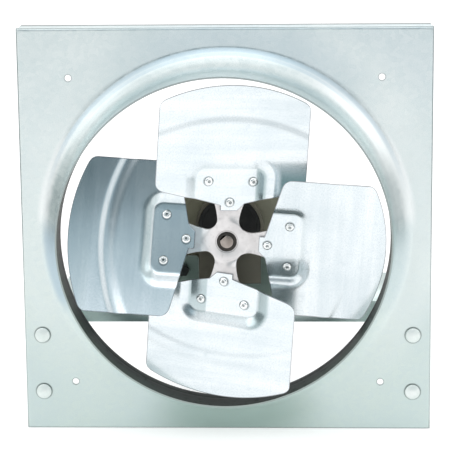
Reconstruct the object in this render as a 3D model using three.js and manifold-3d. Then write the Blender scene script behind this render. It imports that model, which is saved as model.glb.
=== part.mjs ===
// Direct-drive wall exhaust fan: a square galvanised panel drawn forward into a round collar,
// a four-bladed sheet-metal propeller in the collar, and a motor held in rubber rings behind it.
// Millimetres, +Z up. The origin is the centre of the panel's front face; air leaves towards -Y.
import * as THREE from 'three';
import { mergeVertices } from 'three/addons/utils/BufferGeometryUtils.js';
import Module from 'manifold-3d';

const wasm = await Module();
wasm.setup();

// Fits and fineness shared by every piece
const fitGap = 0.3; // air left between two pieces that touch
const overrun = 4; // how far a cutting solid runs past what it cuts
const fineSides = 56;
const roundSides = 20;
const smallSides = 10;
const boltSides = 7;
const hexSides = 6;
const cornerSteps = 4; // points on a rounded corner
const tipSteps = 8; // points on a blade's tip

// Panel and collar
const panelSide = 406.4;
const panelSheet = 1.6;
const panelFlange = 25.4;
const panelBend = 2.4;
const tipClearance = 7.5; // from the blades' tips to the collar's inner wall
const collarMargin = 41.7; // from the collar's bore to the panel's sides
const collarReach = 58.8; // the rim stands this far in front of the panel
const collarBend = 18; // radius between the panel and the collar wall
const wallHoleRadius = 3.2;
const wallHoleInsetX = 50.1; // from the panel's sides
const wallHoleInsetZ = 49.2; // from its top and bottom

// Shaft line: a little to the right of the panel's centre
const shaftOffset = 2.5;
const shaftRadius = 6.35;
const shaftFlatDepth = 1.5;
const shaftFlatLength = 32;
const shaftFlatTurn = -45; // degrees clockwise from straight up

// Propeller
const bladeCount = 4;
const restTurn = 4.2; // degrees clockwise from straight up, as it stands at rest
const bladeLeadWidth = 70.5; // from the arm's middle to the leading edge
const bladeTrailWidth = 72.5; // from there to the trailing edge
const bladeSheet = 1.6;
const bladeShoulder = 52; // distance of the blade's inner corners from the shaft
const bladeNeckLength = 7; // from the blade's root to its neck
const bladeNeckHalfWidth = 14.5;
const bladeRootDistance = 31;
const bladeRootHalfWidth = 10.5;
const bladeTabHalfWidth = 7.6; // tab at the blade's root, on the arm
const bladeTabStep = 5.2; // from the tab's end to the blade's edge beside it
const bladeTipCorner = 6;
const bladeRootCorner = 9;
const bladeSlopeShare = 0.331; // rise of the blade for each millimetre across it
const bladeCamberRadius = 610;
const bladeRise = 3.3; // the blade's middle stands this far in front of its riveting pad
const padFront = -45.5; // front face of the riveting pad on the arm's centre line
const padSlopeShare = 0.3146;
const padEndMargin = 3; // from the arm's plate to the slope round the pad
const padSideMargin = 4;
const padWall = 12.5; // width of the slope round the pad
const padCorner = 8;
const ribInset = 32; // from the tip to the stiffening rib
const ribCurve = 165;
const ribWidth = 5.6;
const ribHeight = 1.1;
const rivetEndInset = 8.1; // from the outer edge of the arm's plate
const rivetSideInset = 6.7;
const rivetRootInset = 8.4; // from the blade's root
const rivetRadius = 2.4;
const rivetHeadRadius = 4.4;
const rivetHeadHeight = 1.7;

// Spider that carries the blades, and its hub
const spiderSheet = 3;
const armFillet = 10.3;
const armFlatReach = 21; // the arms lie flat up to here and twist beyond
const armPlateLength = 18;
const armPlateHalfWidth = 28;
const armPlateReach = 68;
const armPlateCorner = 5;
const hubWall = 7.65;
const hubLength = 25;
const hubNoseWall = 3.15;
const hubNoseReach = 1; // the nose stands this far in front of the spider
const setScrewRadius = 3.9;
const setScrewLength = 7;

// Motor shelf and the brackets that carry it
const motorFloorRoom = 5.2; // from the shelf up to the motor
const shelfSheet = 1.6;
const shelfFront = 22;
const shelfDepth = 123;
const shelfEndInset = 31.7; // from the panel's sides
const shelfFlange = 21.6;
const bracketSheet = 2;
const bracketFootRoom = 3.8; // from the foot to the panel's flange
const bracketRise = 21.1; // from the panel's bottom to the brackets' lower ends
const bracketTail = 24;
const bracketSeat = 22;
const bracketLowReach = 58;

// Fasteners
const carriageBoltInset = 13.6; // from the foot's inner edge
const carriageBoltDrop = 27.4; // from the foot's top to the upper bolt
const carriageBoltRise = 18; // from the foot's end to the lower bolt
const carriageHeadRadius = 7.85;
const carriageHeadHeight = 3.4;
const quarterBoltRadius = 3.175;
const quarterNutRadius = 6.4;
const quarterNutHeight = 5.4;
const quarterHeadHeight = 4.1;
const quarterWasherRadius = 8;
const washerSheet = 1.5;
const boltStickOut = 3; // thread that shows beyond a nut
const holeSlack = 0.4; // a clearance hole's radius beyond its bolt's

// Cradle and ring hangers
const cradleSheet = 2.5;
const cradleHalfWidth = 60;
const cradleInset = 2; // from the shelf's edges
const cradleTop = 29.6; // below the shaft line
const cradleNotchHalfWidth = 31.2;
const cradleNotchFloor = 58.6; // below the shaft line
const cradleCorner = 4;
const cradleBoltInset = 10; // from the cradle's sides
const cradleBoltSpread = 70;
const hangerTabInset = 4; // from the cradle's sides
const hangerTabDrop = 3.4; // from the cradle's top
const hangerTabRise = 2.6; // from the floor of the cradle's notch
const hangerBoltInset = 9; // from the tab's ends
const hangerBoltShare = 0.52; // up from the tab's lower edge
const hangerBandWall = 3;
const hangerBandWidth = 12;
const hangerSplit = 3;
const hangerEarSheet = 3;
const hangerEarHeight = 12;
const hangerEarWidth = 9;
const pinchScrewRadius = 1.9;
const pinchHeadRadius = 3.6;
const pinchHeadHeight = 2.4;
const pinchNutHeight = 2.6;

// Rubber rings
const cushionRadius = 30.8;
const cushionWidth = 14;
const cushionLip = 1.7;
const cushionLipRoom = 2.65; // from the shaft
const cushionProud = 2; // the ring stands this far in front of the shelf
const cushionRoom = 2; // from the ring to the end shield behind it

// Motor
const motorRadius = 71;
const motorShellWall = 2;
const shieldWall = 3.5;
const shieldBossRadius = 24;
const shieldStep = 6; // from the shield's face to its bolting ledge
const shieldLedgeWidth = 17;
const shieldRimBevel = 2;
const shieldRimLength = 12;
const shieldBoreRoom = 1.05; // from the shaft
const bearingRadius = 16;
const bearingLength = 14;
const bearingLipWall = 2.4;
const statorInset = 36.5; // from the motor's faces
const statorDepth = 32.6; // from the motor's outside to the stator's bore
const airGap = 0.5;
const rotorEndRing = 4;
const rotorEndRingInset = 4.4; // from the stator's bore
const windingInset = 3.6; // from the stator's bore
const windingRoom = 4.5; // from the winding out to the circle of the through bolts
const windingEndRoom = 3.2; // from the winding to the end shield
const windingCornerShare = 0.42; // of its length
const throughBoltInset = 8.5; // from the motor's outside
const throughBoltCount = 4;
const throughBoltRadius = 2.25;
const throughBoltHeadRadius = 4.6;
const throughBoltHeadHeight = 3;
const throughBoltNutHeight = 3.4;
const throughBoltTurn = 20;
const rotorSleeveRadius = 11;

// Terminal box on top of the motor
const boxWidth = 64;
const boxLength = 50;
const boxHeight = 37; // above the motor's shell
const boxSkirt = 11; // how far its saddle reaches down beside the shell
const boxWall = 1.6;
const boxFloor = 2.2;
const knockoutRadius = 11.1;
const knockoutShare = 0.55; // up from the box's floor
const lugSide = 8;
const lugHeight = 10;
const boxScrewRadius = 1.75;
const boxScrewHeadRadius = 3.4;
const boxScrewHeadHeight = 2;

// Places worked out from the sizes above
const collarBore = panelSide / 2 - collarMargin;
const tipRadius = collarBore - tipClearance;
const ribReach = tipRadius - ribInset;
const bladeNeckDistance = bladeRootDistance + bladeNeckLength;
const armPlateStart = armPlateReach - armPlateLength;
const padReach = armPlateReach + padEndMargin;
const padHalfWidth = armPlateHalfWidth + padSideMargin;
const rivetReachOuter = armPlateReach - rivetEndInset;
const rivetReachInner = bladeRootDistance + rivetRootInset;
const rivetSide = armPlateHalfWidth - rivetSideInset;
const hubRadius = shaftRadius + hubWall;
const hubNoseRadius = shaftRadius + hubNoseWall;
const wallHoleX = panelSide / 2 - wallHoleInsetX;
const wallHoleZ = panelSide / 2 - wallHoleInsetZ;
const shelfHalfWidth = panelSide / 2 - shelfEndInset;
const shelfTop = -motorRadius - motorFloorRoom;
const shelfBack = shelfFront + shelfDepth;
const shelfBottom = shelfTop - shelfSheet;
const bracketInner = shelfHalfWidth + fitGap;
const bracketTop = shelfBottom - fitGap;
const bracketLow = bracketRise - panelSide / 2;
const carriageBoltX = bracketInner + carriageBoltInset;
const carriageBoltLevels = [bracketTop - carriageBoltDrop, bracketLow + carriageBoltRise];
const cradleBoltX = cradleHalfWidth - cradleBoltInset;
const hangerTabHalfWidth = cradleHalfWidth - hangerTabInset;
const hangerTabTop = cradleTop + hangerTabDrop;
const hangerTabFloor = cradleNotchFloor - hangerTabRise;
const hangerBoltX = hangerTabHalfWidth - hangerBoltInset;
const hangerBoltDrop = THREE.MathUtils.lerp(hangerTabFloor, hangerTabTop, hangerBoltShare);
const motorFront = shelfFront;
const motorBack = shelfBack;
const motorMiddle = (motorFront + motorBack) / 2;
const padBack = padFront + bladeSheet;
const spiderFront = padBack + fitGap;
const spiderBack = spiderFront + spiderSheet;
const hubFront = spiderBack + fitGap;
const hubBack = hubFront + hubLength;
const noseFront = spiderFront - hubNoseReach;
const shieldBore = shaftRadius + shieldBoreRoom;
const cushionLipBore = shaftRadius + cushionLipRoom;
const shieldFace = motorFront - cushionProud + cushionWidth + cushionRoom;
const shieldLedge = shieldFace + shieldStep;
const shieldLedgeRadius = motorRadius - shieldLedgeWidth;
const shieldRimRadius = motorRadius - shieldRimBevel;
const throughBoltCircle = motorRadius - throughBoltInset;
const shieldBack = shieldLedge + shieldRimLength;
const bearingFront = motorFront + bearingLipWall + fitGap;
const bearingBack = bearingFront + bearingLength;
const statorFront = motorFront + statorInset;
const statorBack = motorBack - statorInset;
const statorBore = motorRadius - statorDepth;
const rotorEndRingRadius = statorBore - rotorEndRingInset;
const windingInner = statorBore + windingInset;
const windingOuter = throughBoltCircle - windingRoom;
const windingBack = statorFront - fitGap;
const windingFront = shieldLedge + shieldWall + windingEndRoom;
const boxTop = motorRadius + boxHeight;

// Joining and cutting closed shapes

function welded(geometry) {
  const plain = geometry.index ? geometry.toNonIndexed() : geometry.clone();
  plain.deleteAttribute('normal');
  plain.deleteAttribute('uv');
  const merged = mergeVertices(plain);
  const corners = merged.index.array;
  const kept = [];
  for (let i = 0; i < corners.length; i += 3) {
    const [a, b, c] = corners.slice(i, i + 3);
    if (a !== b && b !== c && c !== a) kept.push(a, b, c);
  }
  merged.setIndex(kept);
  return facingOut(merged);
}

function facingOut(geometry) {
  const place = geometry.attributes.position;
  const corners = geometry.index.array;
  const a = new THREE.Vector3();
  const b = new THREE.Vector3();
  const c = new THREE.Vector3();
  let volume = 0;
  for (let i = 0; i < corners.length; i += 3) {
    a.fromBufferAttribute(place, corners[i]);
    b.fromBufferAttribute(place, corners[i + 1]);
    c.fromBufferAttribute(place, corners[i + 2]);
    volume += a.dot(b.cross(c));
  }
  if (volume > 0) return geometry;
  const turned = [];
  for (let i = 0; i < corners.length; i += 3) turned.push(corners[i], corners[i + 2], corners[i + 1]);
  geometry.setIndex(turned);
  return geometry;
}

function toSolid(geometry) {
  const clean = welded(geometry);
  const vertProperties = new Float32Array(clean.attributes.position.array);
  const triVerts = new Uint32Array(clean.index.array);
  return new wasm.Manifold(new wasm.Mesh({ numProp: 3, vertProperties, triVerts }));
}

function toGeometry(solid) {
  const mesh = solid.getMesh();
  const geometry = new THREE.BufferGeometry();
  geometry.setAttribute('position', new THREE.BufferAttribute(new Float32Array(mesh.vertProperties), 3));
  geometry.setIndex(new THREE.BufferAttribute(new Uint32Array(mesh.triVerts), 1));
  return geometry;
}

function join(...shapes) {
  return toGeometry(shapes.map(toSolid).reduce((whole, solid) => whole.add(solid)));
}

function cut(base, ...tools) {
  return toGeometry(tools.map(toSolid).reduce((rest, tool) => rest.subtract(tool), toSolid(base)));
}

function common(first, second) {
  return toGeometry(toSolid(first).intersect(toSolid(second)));
}

// Basic forms

function span(x0, x1, y0, y1, z0, z1) {
  const block = new THREE.BoxGeometry(x1 - x0, y1 - y0, z1 - z0);
  return block.translate((x0 + x1) / 2, (y0 + y1) / 2, (z0 + z1) / 2);
}

// A round bar along Y from y0 to y1
function barY(radius, y0, y1, x = 0, z = 0, sides = smallSides) {
  return new THREE.CylinderGeometry(radius, radius, y1 - y0, sides).translate(x, (y0 + y1) / 2, z);
}

function barZ(radius, z0, z1, x, y, sides = smallSides) {
  const bar = new THREE.CylinderGeometry(radius, radius, z1 - z0, sides).rotateX(Math.PI / 2);
  return bar.translate(x, y, (z0 + z1) / 2);
}

function barX(radius, x0, x1, y, z, sides = smallSides) {
  const bar = new THREE.CylinderGeometry(radius, radius, x1 - x0, sides).rotateZ(Math.PI / 2);
  return bar.translate((x0 + x1) / 2, y, z);
}

// A profile of [radius, y] points turned about the Y axis
function turned(profile, sides = roundSides) {
  return new THREE.LatheGeometry(profile.map(([radius, y]) => new THREE.Vector2(radius, y)), sides);
}

function washerY(outer, inner, y0, y1, sides = roundSides) {
  return turned([[inner, y0], [outer, y0], [outer, y1], [inner, y1], [inner, y0]], sides);
}

function outline(points) {
  return new THREE.Shape(points.map(([x, y]) => new THREE.Vector2(x, y)));
}

// An outline whose corners are rounded: each entry is [x, y, radius]
function roundedOutline(corners) {
  const shape = new THREE.Shape();
  corners.forEach(([x, y, radius], i) => {
    const here = new THREE.Vector2(x, y);
    const before = new THREE.Vector2(...corners[(i + corners.length - 1) % corners.length]);
    const after = new THREE.Vector2(...corners[(i + 1) % corners.length]);
    const from = here.clone().add(before.sub(here).setLength(radius));
    const to = here.clone().add(after.sub(here).setLength(radius));
    if (i === 0) shape.moveTo(from.x, from.y);
    else shape.lineTo(from.x, from.y);
    if (radius > 0) shape.quadraticCurveTo(x, y, to.x, to.y);
  });
  shape.closePath();
  return shape;
}

// Plates cut from an outline and thickened along one axis
function plateXZ(shape, y0, y1, curveSegments = cornerSteps) {
  const plate = new THREE.ExtrudeGeometry(shape, { depth: y1 - y0, bevelEnabled: false, curveSegments });
  return plate.rotateX(Math.PI / 2).translate(0, y1, 0);
}

function plateYZ(shape, x0, x1) {
  const plate = new THREE.ExtrudeGeometry(shape, { depth: x1 - x0, bevelEnabled: false });
  const lay = new THREE.Matrix4().set(0, 0, 1, x0, 1, 0, 0, 0, 0, 1, 0, 0, 0, 0, 0, 1);
  return plate.applyMatrix4(lay);
}

function plateXY(shape, z0, z1) {
  const flat = { depth: z1 - z0, bevelEnabled: false, curveSegments: cornerSteps };
  const plate = new THREE.ExtrudeGeometry(shape, flat);
  return plate.translate(0, 0, z0);
}

function mirroredY(geometry, plane) {
  return geometry.clone().applyMatrix4(new THREE.Matrix4().makeScale(1, -1, 1)).translate(0, 2 * plane, 0);
}

// Moves a piece built on the Y axis to the shaft line
function onShaft(geometry) {
  return geometry.translate(shaftOffset, 0, 0);
}

// Finishes

const finishes = {
  galvanised: { color: 0xd6e0e1, roughness: 0.42, metalness: 0.75 },
  zinc: { color: 0xcfd8d8, roughness: 0.35, metalness: 0.85 },
  blade: { color: 0xe4e8ea, roughness: 0.3, metalness: 0.85 },
  steel: { color: 0xb9bbbb, roughness: 0.32, metalness: 0.9 },
  motorPaint: { color: 0x5b584a, roughness: 0.55, metalness: 0.3 },
  rubber: { color: 0x1d1e1d, roughness: 0.8, metalness: 0 },
  laminations: { color: 0x6f7274, roughness: 0.5, metalness: 0.8 },
  copper: { color: 0x9a5a32, roughness: 0.45, metalness: 0.6 },
  bronze: { color: 0xa9844d, roughness: 0.4, metalness: 0.8 },
};

const fan = new THREE.Group();

function addPiece(group, name, geometry, finish) {
  const mesh = new THREE.Mesh(welded(geometry), new THREE.MeshStandardMaterial(finishes[finish]));
  mesh.name = name;
  group.add(mesh);
}

// Wall panel with its collar

// A square tray, open at the back, whose front edges are rounded
function tray(side, front, back, bend) {
  const half = side / 2;
  const section = () => roundedOutline([
    [-half, front, bend],
    [half, front, bend],
    [half, back, 0],
    [-half, back, 0],
  ]);
  const across = plateXY(section(), -half, half);
  const upright = plateXY(section(), -half, half).rotateY(Math.PI / 2);
  return common(across, upright);
}

function collar() {
  const wallOuter = collarBore + panelSheet;
  const bendCentre = wallOuter + collarBend;
  const quarterShares = [0, 0.25, 0.5, 0.75, 1];
  const turns = quarterShares.map((share) => share * Math.PI / 2);
  const bendArc = (radius) => turns.map((turn) => [
    bendCentre - radius * Math.sin(turn),
    radius * Math.cos(turn) - collarBend,
  ]);
  return turned([
    [bendCentre + overrun, 0],
    ...bendArc(collarBend),
    [wallOuter, -collarReach],
    [collarBore, -collarReach],
    ...bendArc(collarBend + panelSheet).reverse(),
    [bendCentre + overrun, panelSheet],
    [bendCentre + overrun, 0],
  ], fineSides);
}

function wallPanel() {
  const outer = tray(panelSide, 0, panelFlange, panelBend);
  const inner = tray(panelSide - 2 * panelSheet, panelSheet, panelFlange + overrun, panelBend - panelSheet);
  const mouthRadius = collarBore + panelSheet + collarBend;
  const mouth = barY(mouthRadius, -overrun, panelSheet + overrun, 0, 0, fineSides);
  const holes = [];
  for (const side of [-1, 1]) {
    for (const level of [-1, 1]) {
      const x = side * wallHoleX;
      holes.push(barY(wallHoleRadius, -overrun, panelSheet + overrun, x, level * wallHoleZ));
    }
    for (const z of carriageBoltLevels) {
      const half = quarterBoltRadius + fitGap;
      const x = side * carriageBoltX;
      holes.push(span(x - half, x + half, -overrun, panelSheet + overrun, z - half, z + half));
    }
  }
  return join(cut(outer, inner, mouth, ...holes), collar());
}

// Shelf and its two brackets

function cradleBoltPlaces() {
  const places = [];
  for (const side of [-1, 1]) {
    for (const end of [-1, 1]) {
      places.push([shaftOffset + side * cradleBoltX, motorMiddle + end * cradleBoltSpread / 2]);
    }
  }
  return places;
}

function motorShelf() {
  const under = shelfTop - shelfFlange;
  const body = span(-shelfHalfWidth, shelfHalfWidth, shelfFront, shelfBack, under, shelfTop);
  const channel = span(
    -shelfHalfWidth - overrun,
    shelfHalfWidth + overrun,
    shelfFront + shelfSheet,
    shelfBack - shelfSheet,
    under - overrun,
    shelfBottom,
  );
  const holeRadius = quarterBoltRadius + holeSlack;
  const holes = cradleBoltPlaces().map(([x, y]) => (
    barZ(holeRadius, shelfBottom - overrun, shelfTop + overrun, x, y)
  ));
  return cut(body, channel, ...holes);
}

// The bracket on the +X side; the other is its mirror image
function sideBracket() {
  const front = panelSheet + fitGap;
  const cheek = plateYZ(outline([
    [front, bracketLow],
    [bracketLowReach, bracketLow],
    [shelfBack, bracketTop - bracketTail],
    [shelfBack, bracketTop],
    [front, bracketTop],
  ]), bracketInner, bracketInner + bracketSheet);
  const footOuter = panelSide / 2 - panelSheet - bracketFootRoom;
  const foot = span(bracketInner, footOuter, front, front + bracketSheet, bracketLow, bracketTop);
  const seatFront = shelfFront + shelfSheet + fitGap;
  const seatBack = shelfBack - shelfSheet - fitGap;
  const seatInner = bracketInner - bracketSeat;
  const seatOuter = bracketInner + bracketSheet;
  const seat = span(seatInner, seatOuter, seatFront, seatBack, bracketTop - bracketSheet, bracketTop);
  const holes = carriageBoltLevels.map((z) => (
    barY(quarterBoltRadius + holeSlack, front - overrun, front + bracketSheet + overrun, carriageBoltX, z)
  ));
  return cut(join(cheek, foot, seat), ...holes);
}

function mirroredX(geometry) {
  return geometry.clone().applyMatrix4(new THREE.Matrix4().makeScale(-1, 1, 1));
}

// Carriage bolts through the panel and the brackets' feet

function carriagePlaces() {
  const places = [];
  for (const side of [-1, 1]) {
    for (const z of carriageBoltLevels) places.push([side * carriageBoltX, z]);
  }
  return places;
}

const washerFront = panelSheet + fitGap + bracketSheet + fitGap;

// A bolt and what is screwed onto it are one solid
function carriageBolt([x, z]) {
  const under = -fitGap;
  const nutFront = washerFront + washerSheet;
  const end = nutFront + quarterNutHeight + boltStickOut;
  const domeShares = [[0, 1], [0.5, 0.88], [0.85, 0.5], [1, 0.12]];
  const dome = domeShares.map(([out, up]) => [out * carriageHeadRadius, under - up * carriageHeadHeight]);
  const bolt = turned([
    ...dome,
    [carriageHeadRadius, under],
    [quarterBoltRadius, under],
    [quarterBoltRadius, washerFront],
    [quarterWasherRadius, washerFront],
    [quarterWasherRadius, nutFront],
    [quarterBoltRadius, nutFront],
    [quarterBoltRadius, end],
    [0, end],
  ], smallSides);
  const half = quarterBoltRadius;
  const neck = span(-half, half, under - fitGap, panelSheet, -half, half);
  const nut = barY(quarterNutRadius, nutFront - fitGap, nutFront + quarterNutHeight, 0, 0, hexSides);
  return join(bolt, neck, nut).translate(x, 0, z);
}

// A hex-head bolt that points down, with its nut under the shelf
function cradleBolt([x, y]) {
  const seat = shelfTop + fitGap + cradleSheet + fitGap;
  const nutTop = shelfBottom - fitGap;
  const nutEnd = nutTop - quarterNutHeight;
  const head = barZ(quarterNutRadius, seat, seat + quarterHeadHeight, x, y, hexSides);
  const nut = barZ(quarterNutRadius, nutEnd, nutTop, x, y, hexSides);
  const shank = barZ(quarterBoltRadius, nutEnd - boltStickOut, seat + quarterHeadHeight / 2, x, y, boltSides);
  return join(head, shank, nut);
}

// Cradle under the motor

const cradleFront = shelfFront + cradleInset;
const cradleBack = shelfBack - cradleInset;
const cradleBase = shelfTop + fitGap;

function cradle() {
  const floorTop = cradleBase + cradleSheet;
  const floor = span(-cradleHalfWidth, cradleHalfWidth, cradleFront, cradleBack, cradleBase, floorTop);
  const upright = roundedOutline([
    [-cradleHalfWidth, cradleBase, 0],
    [cradleHalfWidth, cradleBase, 0],
    [cradleHalfWidth, -cradleTop, cradleCorner],
    [cradleNotchHalfWidth, -cradleTop, cradleCorner],
    [cradleNotchHalfWidth, -cradleNotchFloor, 0],
    [-cradleNotchHalfWidth, -cradleNotchFloor, 0],
    [-cradleNotchHalfWidth, -cradleTop, cradleCorner],
    [-cradleHalfWidth, -cradleTop, cradleCorner],
  ]);
  const front = plateXZ(upright, cradleFront, cradleFront + cradleSheet);
  const holes = [];
  for (const side of [-1, 1]) {
    const x = side * hangerBoltX;
    const radius = quarterBoltRadius + holeSlack;
    holes.push(barY(radius, cradleFront - overrun, cradleBack + overrun, x, -hangerBoltDrop));
  }
  for (const [x, y] of cradleBoltPlaces()) {
    const radius = quarterBoltRadius + holeSlack;
    holes.push(barZ(radius, cradleBase - overrun, floorTop + overrun, x - shaftOffset, y));
  }
  return cut(join(floor, front, mirroredY(front, motorMiddle)), ...holes);
}

// The hanger grips a rubber ring in a split band and stands in the cradle's notch
const hangerBack = cradleFront + cradleSheet + fitGap + cradleSheet;
const bandInner = cushionRadius + fitGap;
const bandOuter = bandInner + hangerBandWall;
const bandFront = motorFront - cushionProud + fitGap + (cushionWidth - hangerBandWidth) / 2;
const earInner = hangerSplit / 2;
const earOuter = earInner + hangerEarSheet;
const earTop = bandOuter + hangerEarHeight;
const pinchHeight = bandOuter + hangerEarHeight / 2;
const pinchDepth = bandFront + hangerBandWidth / 2;

function frontHanger() {
  const legHalf = cradleNotchHalfWidth - fitGap;
  const legFloor = -cradleNotchFloor + fitGap;
  const leg = span(-legHalf, legHalf, cradleFront, hangerBack, legFloor, -bandInner / 2);
  const tabFront = cradleFront + cradleSheet + fitGap;
  const tabHalf = hangerTabHalfWidth;
  const tab = span(-tabHalf, tabHalf, tabFront, hangerBack, -hangerTabFloor, -hangerTabTop);
  const band = washerY(bandOuter, bandInner, bandFront, bandFront + hangerBandWidth);
  const ears = [-1, 1].map((side) => span(
    Math.min(side * earInner, side * earOuter),
    Math.max(side * earInner, side * earOuter),
    pinchDepth - hangerEarWidth / 2,
    pinchDepth + hangerEarWidth / 2,
    bandInner + hangerBandWall / 2,
    earTop,
  ));
  const split = span(
    -earInner,
    earInner,
    bandFront - overrun,
    bandFront + hangerBandWidth + overrun,
    bandInner - overrun,
    earTop + overrun,
  );
  const seat = barY(bandInner, cradleFront - overrun, hangerBack + overrun, 0, 0, roundSides);
  const pinchEnd = earOuter + overrun;
  const pinchHole = barX(pinchScrewRadius + fitGap, -pinchEnd, pinchEnd, pinchDepth, pinchHeight);
  const holes = [-1, 1].map((side) => barY(
    quarterBoltRadius + holeSlack,
    tabFront - overrun,
    hangerBack + overrun,
    side * hangerBoltX,
    -hangerBoltDrop,
  ));
  return cut(join(cut(join(leg, tab), seat), band, ...ears), split, pinchHole, ...holes);
}

function hangerBolt(x) {
  const seat = cradleFront - fitGap;
  const nutFront = hangerBack + fitGap;
  const nutBack = nutFront + quarterNutHeight;
  const head = barY(quarterNutRadius, seat - quarterHeadHeight, seat, x, -hangerBoltDrop, hexSides);
  const nut = barY(quarterNutRadius, nutFront, nutBack, x, -hangerBoltDrop, hexSides);
  const shankFront = seat - quarterHeadHeight / 2;
  const shank = barY(quarterBoltRadius, shankFront, nutBack + boltStickOut, x, -hangerBoltDrop, boltSides);
  return join(head, shank, nut);
}

function pinchScrew() {
  const headStart = earOuter + fitGap;
  const nutStart = -earOuter - fitGap;
  const nutEnd = nutStart - pinchNutHeight;
  const headEnd = headStart + pinchHeadHeight;
  const head = barX(pinchHeadRadius, headStart, headEnd, pinchDepth, pinchHeight, boltSides);
  const nut = barX(pinchHeadRadius, nutEnd, nutStart, pinchDepth, pinchHeight, hexSides);
  const shankEnd = (headStart + headEnd) / 2;
  const shankTip = nutEnd - boltStickOut / 2;
  const shank = barX(pinchScrewRadius, shankTip, shankEnd, pinchDepth, pinchHeight, boltSides);
  return join(head, shank, nut);
}

function frontCushion() {
  const front = motorFront - cushionProud;
  const back = front + cushionWidth;
  const inner = shieldBossRadius + fitGap;
  const lipBack = front + cushionLip;
  return turned([
    [cushionLipBore, front],
    [cushionRadius, front],
    [cushionRadius, back],
    [inner, back],
    [inner, lipBack],
    [cushionLipBore, lipBack],
    [cushionLipBore, front],
  ]);
}

// Motor

function frontShield() {
  const pocket = bearingRadius + fitGap;
  const pocketWall = shieldFace + shieldWall;
  const body = turned([
    [shieldBore, motorFront],
    [shieldBossRadius, motorFront],
    [shieldBossRadius, shieldFace],
    [shieldLedgeRadius - shieldStep, shieldFace],
    [shieldLedgeRadius, shieldLedge],
    [shieldRimRadius, shieldLedge],
    [motorRadius, shieldLedge + motorRadius - shieldRimRadius],
    [motorRadius, shieldBack],
    [motorRadius - shieldWall, shieldBack],
    [motorRadius - shieldWall, shieldLedge + shieldWall],
    [shieldLedgeRadius, shieldLedge + shieldWall],
    [shieldLedgeRadius - shieldStep, pocketWall],
    [pocket, pocketWall],
    [pocket, motorFront + bearingLipWall],
    [shieldBore, motorFront + bearingLipWall],
    [shieldBore, motorFront],
  ]);
  return cut(body, ...throughBoltHoles(shieldLedge - overrun, shieldBack));
}

function throughBoltPlaces() {
  const places = [];
  for (let step = 0; step < throughBoltCount; step += 1) {
    const turn = THREE.MathUtils.degToRad(throughBoltTurn) + 2 * Math.PI * step / throughBoltCount;
    places.push([throughBoltCircle * Math.sin(turn), throughBoltCircle * Math.cos(turn)]);
  }
  return places;
}

function throughBoltHoles(y0, y1) {
  return throughBoltPlaces().map(([x, z]) => barY(throughBoltRadius + fitGap, y0, y1, x, z, boltSides));
}

function motorShell() {
  const back = 2 * motorMiddle - shieldBack - fitGap;
  return washerY(motorRadius, motorRadius - motorShellWall, shieldBack + fitGap, back);
}

function statorCore() {
  const outer = motorRadius - motorShellWall - fitGap;
  const ring = washerY(outer, statorBore, statorFront, statorBack);
  return cut(ring, ...throughBoltHoles(statorFront - overrun, statorBack + overrun));
}

function frontWinding() {
  const corner = (windingBack - windingFront) * windingCornerShare;
  return turned([
    [windingInner, windingBack],
    [windingOuter, windingBack],
    [windingOuter, windingFront + corner],
    [windingOuter - corner, windingFront],
    [windingInner + corner, windingFront],
    [windingInner, windingFront + corner],
    [windingInner, windingBack],
  ]);
}

function throughBolt([x, z]) {
  const headBack = shieldLedge - fitGap;
  const nutSeat = 2 * motorMiddle - shieldLedge + fitGap;
  const nutEnd = nutSeat + throughBoltNutHeight;
  const head = barY(throughBoltHeadRadius, headBack - throughBoltHeadHeight, headBack, x, z, hexSides);
  const nut = barY(throughBoltHeadRadius, nutSeat, nutEnd, x, z, hexSides);
  const shankFront = headBack - throughBoltHeadHeight / 2;
  const shank = barY(throughBoltRadius, shankFront, nutEnd + boltStickOut / 2, x, z, boltSides);
  return join(head, shank, nut);
}

const bearingBore = shaftRadius + fitGap;

// Laminated core, cast end rings, and a sleeve at each end that runs against the bearing
function rotorCore() {
  const half = [
    [bearingBore, bearingBack + fitGap],
    [rotorSleeveRadius, bearingBack + fitGap],
    [rotorSleeveRadius, statorFront - rotorEndRing],
    [rotorEndRingRadius, statorFront - rotorEndRing],
    [rotorEndRingRadius, statorFront],
    [statorBore - airGap, statorFront],
  ];
  const mirroredHalf = half.map(([radius, y]) => [radius, 2 * motorMiddle - y]).reverse();
  return turned([...half, ...mirroredHalf, half[0]]);
}

function motorShaft() {
  const back = motorBack - bearingLipWall;
  const shaft = barY(shaftRadius, noseFront, back, 0, 0, roundSides);
  const flat = span(
    -shaftRadius - overrun,
    shaftRadius + overrun,
    noseFront - overrun,
    noseFront + shaftFlatLength,
    shaftRadius - shaftFlatDepth,
    shaftRadius + overrun,
  );
  return cut(shaft, flat.rotateY(THREE.MathUtils.degToRad(shaftFlatTurn)));
}

// Terminal box

const boxFront = motorMiddle - boxLength / 2;
const boxBack = motorMiddle + boxLength / 2;
const boxFloorTop = motorRadius + fitGap + boxFloor;

function lugPlaces() {
  const x = boxWidth / 2 - boxWall - lugSide / 2;
  const y = boxLength / 2 - boxWall - lugSide / 2;
  return [[-x, motorMiddle - y], [x, motorMiddle + y]];
}

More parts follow.
